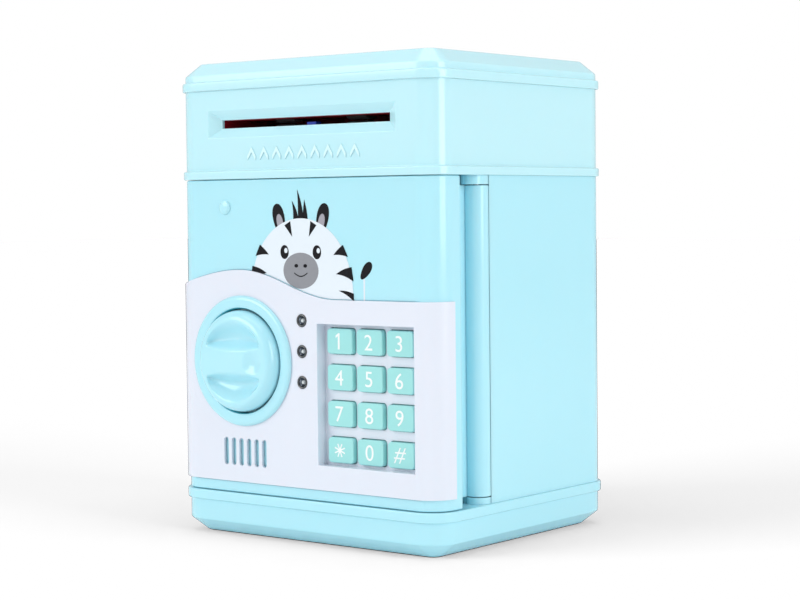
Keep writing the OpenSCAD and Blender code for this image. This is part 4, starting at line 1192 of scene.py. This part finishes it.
    def _stripes(self) -> list[list[Point2]]:
        """Stripes on the brow and both cheeks."""
        stripes = []
        for s in (-1, 1):
            stripes.append([(s * 4.3, 120.2), (s * 5.2, 126.2), (s * 8.2, 124.6)])
            stripes.append(self._wedge((s * 16.6, 113.2), (s * 21.3, 117.0), (s * 23.6, 112.6), 0.3))
            stripes.append(self._wedge((s * 17.8, 105.9), (s * 25.4, 108.6), (s * 26.3, 103.3), 0.5))
        stripes.append(self._wedge((19.0, 99.6), (26.4, 98.6), (26.4, 95.8), 0.4))
        return [o if self._turns_left(o) else o[::-1] for o in stripes]

    def _turns_left(self, outline: list[Point2]) -> bool:
        """True if an outline runs anticlockwise."""
        pairs = zip(outline, outline[1:] + outline[:1])
        return sum(a[0] * b[1] - b[0] * a[1] for a, b in pairs) > 0

    def _smile(self) -> list[Point2]:
        """A thin shallow curve for the mouth."""
        steps, width = 12, 0.22
        upper, lower = [], []
        for i in range(steps + 1):
            x = -3.4 + 6.8 * i / steps
            z = 106.1 - 1.3 * math.cos(x / 3.4 * math.pi / 2)
            upper.append((x, z + width))
            lower.append((x, z - width))
        return lower + upper[::-1]


# --------------------------------------------------------------------------- works inside


class Works:
    """The pieces inside, shown as packed, each in its own finish."""

    FINISHES: dict[Finish, tuple[str, ...]] = {
        FEEDER_RED: ("feeder_frame",),
        SENSOR_BLUE: ("bill_sensor",),
        ROLLER_GREY: ("feed_rollers", "pinch_rollers"),
        GEAR_WHITE: ("idler_gear", "feed_gear"),
        BRASS: ("motor_pinion", "lock_disc"),
        STEEL: ("feed_motor", "idler_axle", "feed_shaft", "pinch_shaft", "hinge_pins", "head_screws", "base_screws",
                "feeder_screws", "battery_screw", "battery_contacts", "lock_solenoid", "lock_plunger", "door_screws",
                "knob_spindle", "latch_tongue", "latch_screw"),
        BATTERY: ("batteries",),
        MAT_RUBBER: ("keypad_mat",),
        SPEAKER_BLACK: ("speaker",),
        BOARD_GREEN: ("circuit_board",),
    }

    def __init__(self, shop: Shop) -> None:
        """Keeps the shop that dresses the pieces."""
        self.shop = shop

    def build(self) -> None:
        """Dresses every inner piece."""
        for finish, nodes in self.FINISHES.items():
            for node in nodes:
                self.shop.dress(node, finish)


# --------------------------------------------------------------------------- studio


@dataclass
class Studio:
    """Pale floor, soft lights and the camera."""

    shop: Shop
    lens: float = 88.13
    azimuth: float = 38.349
    pitch: float = 2.667
    roll: float = 0.598
    place: Point = (501.08, -628.98, 130.57)

    def build(self) -> None:
        """Sets the stage."""
        self._floor()
        self._camera()
        self._lights()
        self._world()
        bpy.context.scene.view_settings.view_transform = "Standard"
        bpy.context.scene.view_settings.look = "None"

    def _floor(self) -> None:
        """A large pale floor."""
        bm = bmesh.new()
        bmesh.ops.create_grid(bm, x_segments=1, y_segments=1, size=6.0)
        bmesh.ops.translate(bm, vec=(0, 0, -0.0002), verts=bm.verts)
        floor = to_mesh_object(bm, "floor")
        floor.data.materials.append(self.shop.finishes.material(FLOOR))
        floor.is_shadow_catcher = True

    def _camera(self) -> None:
        """The camera, at the view that the bank is shown from."""
        a, e, r = (math.radians(v) for v in (self.azimuth, self.pitch, self.roll))
        back = Vector((math.sin(a) * math.cos(e), -math.cos(a) * math.cos(e), math.sin(e)))
        right = Vector((math.cos(a), math.sin(a), 0))
        up = back.cross(right)
        right, up = right * math.cos(r) - up * math.sin(r), right * math.sin(r) + up * math.cos(r)
        data = bpy.data.cameras.new("camera")
        data.lens, data.sensor_width = self.lens, 36.0
        data.clip_start, data.clip_end = 0.01, 50.0
        camera = bpy.data.objects.new("camera", data)
        turn = Matrix((right, up, back)).transposed().to_4x4()
        camera.matrix_world = Matrix.Translation(Vector(self.place) * MM) @ turn
        bpy.context.scene.collection.objects.link(camera)
        bpy.context.scene.camera = camera

    def _area(self, name: str, place: Point, aim: Point, size: Point2, power: float) -> None:
        """Adds a soft rectangular light that points at a place, in metres."""
        data = bpy.data.lights.new(name, "AREA")
        data.shape, data.size, data.size_y, data.energy = "RECTANGLE", *size, power
        light = bpy.data.objects.new(name, data)
        light.location = place
        light.rotation_mode = "QUATERNION"
        light.rotation_quaternion = (Vector(aim) - Vector(place)).to_track_quat("-Z", "Y")
        bpy.context.scene.collection.objects.link(light)

    def _lights(self) -> None:
        """A broad key from the front left, a fill from the right and one overhead."""
        middle = (0.0, 0.0, 0.09)
        self._area("key", (-1.0, -1.75, 1.0), middle, (1.3, 1.3), 19)
        self._area("side", (1.5, -0.05, 0.6), middle, (0.7, 1.1), 8.8)
        self._area("top", (0.0, 0.0, 1.4), middle, (1.2, 1.2), 5)

    def _world(self) -> None:
        """An even white surround, dimmer as a light than it looks behind the bank."""
        world = bpy.data.worlds.new("surround")
        world.use_nodes = True
        tree = world.node_tree
        sky = tree.nodes["Background"]
        sky.inputs["Color"].default_value = (1, 1, 1, 1)
        rays = tree.nodes.new("ShaderNodeLightPath")
        span = tree.nodes.new("ShaderNodeMapRange")
        span.inputs["To Min"].default_value, span.inputs["To Max"].default_value = 0.56, 1.0
        tree.links.new(rays.outputs["Is Camera Ray"], span.inputs["Value"])
        tree.links.new(span.outputs["Result"], sky.inputs["Strength"])
        bpy.context.scene.world = world


def main() -> None:
    """Builds the bank round its frame."""
    logging.basicConfig(level=logging.INFO, format="%(name)s: %(message)s")
    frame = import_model()
    shop = Shop(frame)
    Studio(shop).build()
    casing = Casing(shop)
    casing.build()
    door = Door(shop, casing)
    door.build()
    Knob(shop).build()
    Keypad(shop).build()
    PrintedAnimal(shop, door).build()
    Works(shop).build()
    bpy.context.view_layer.update()


if __name__ == "__main__":
    main()
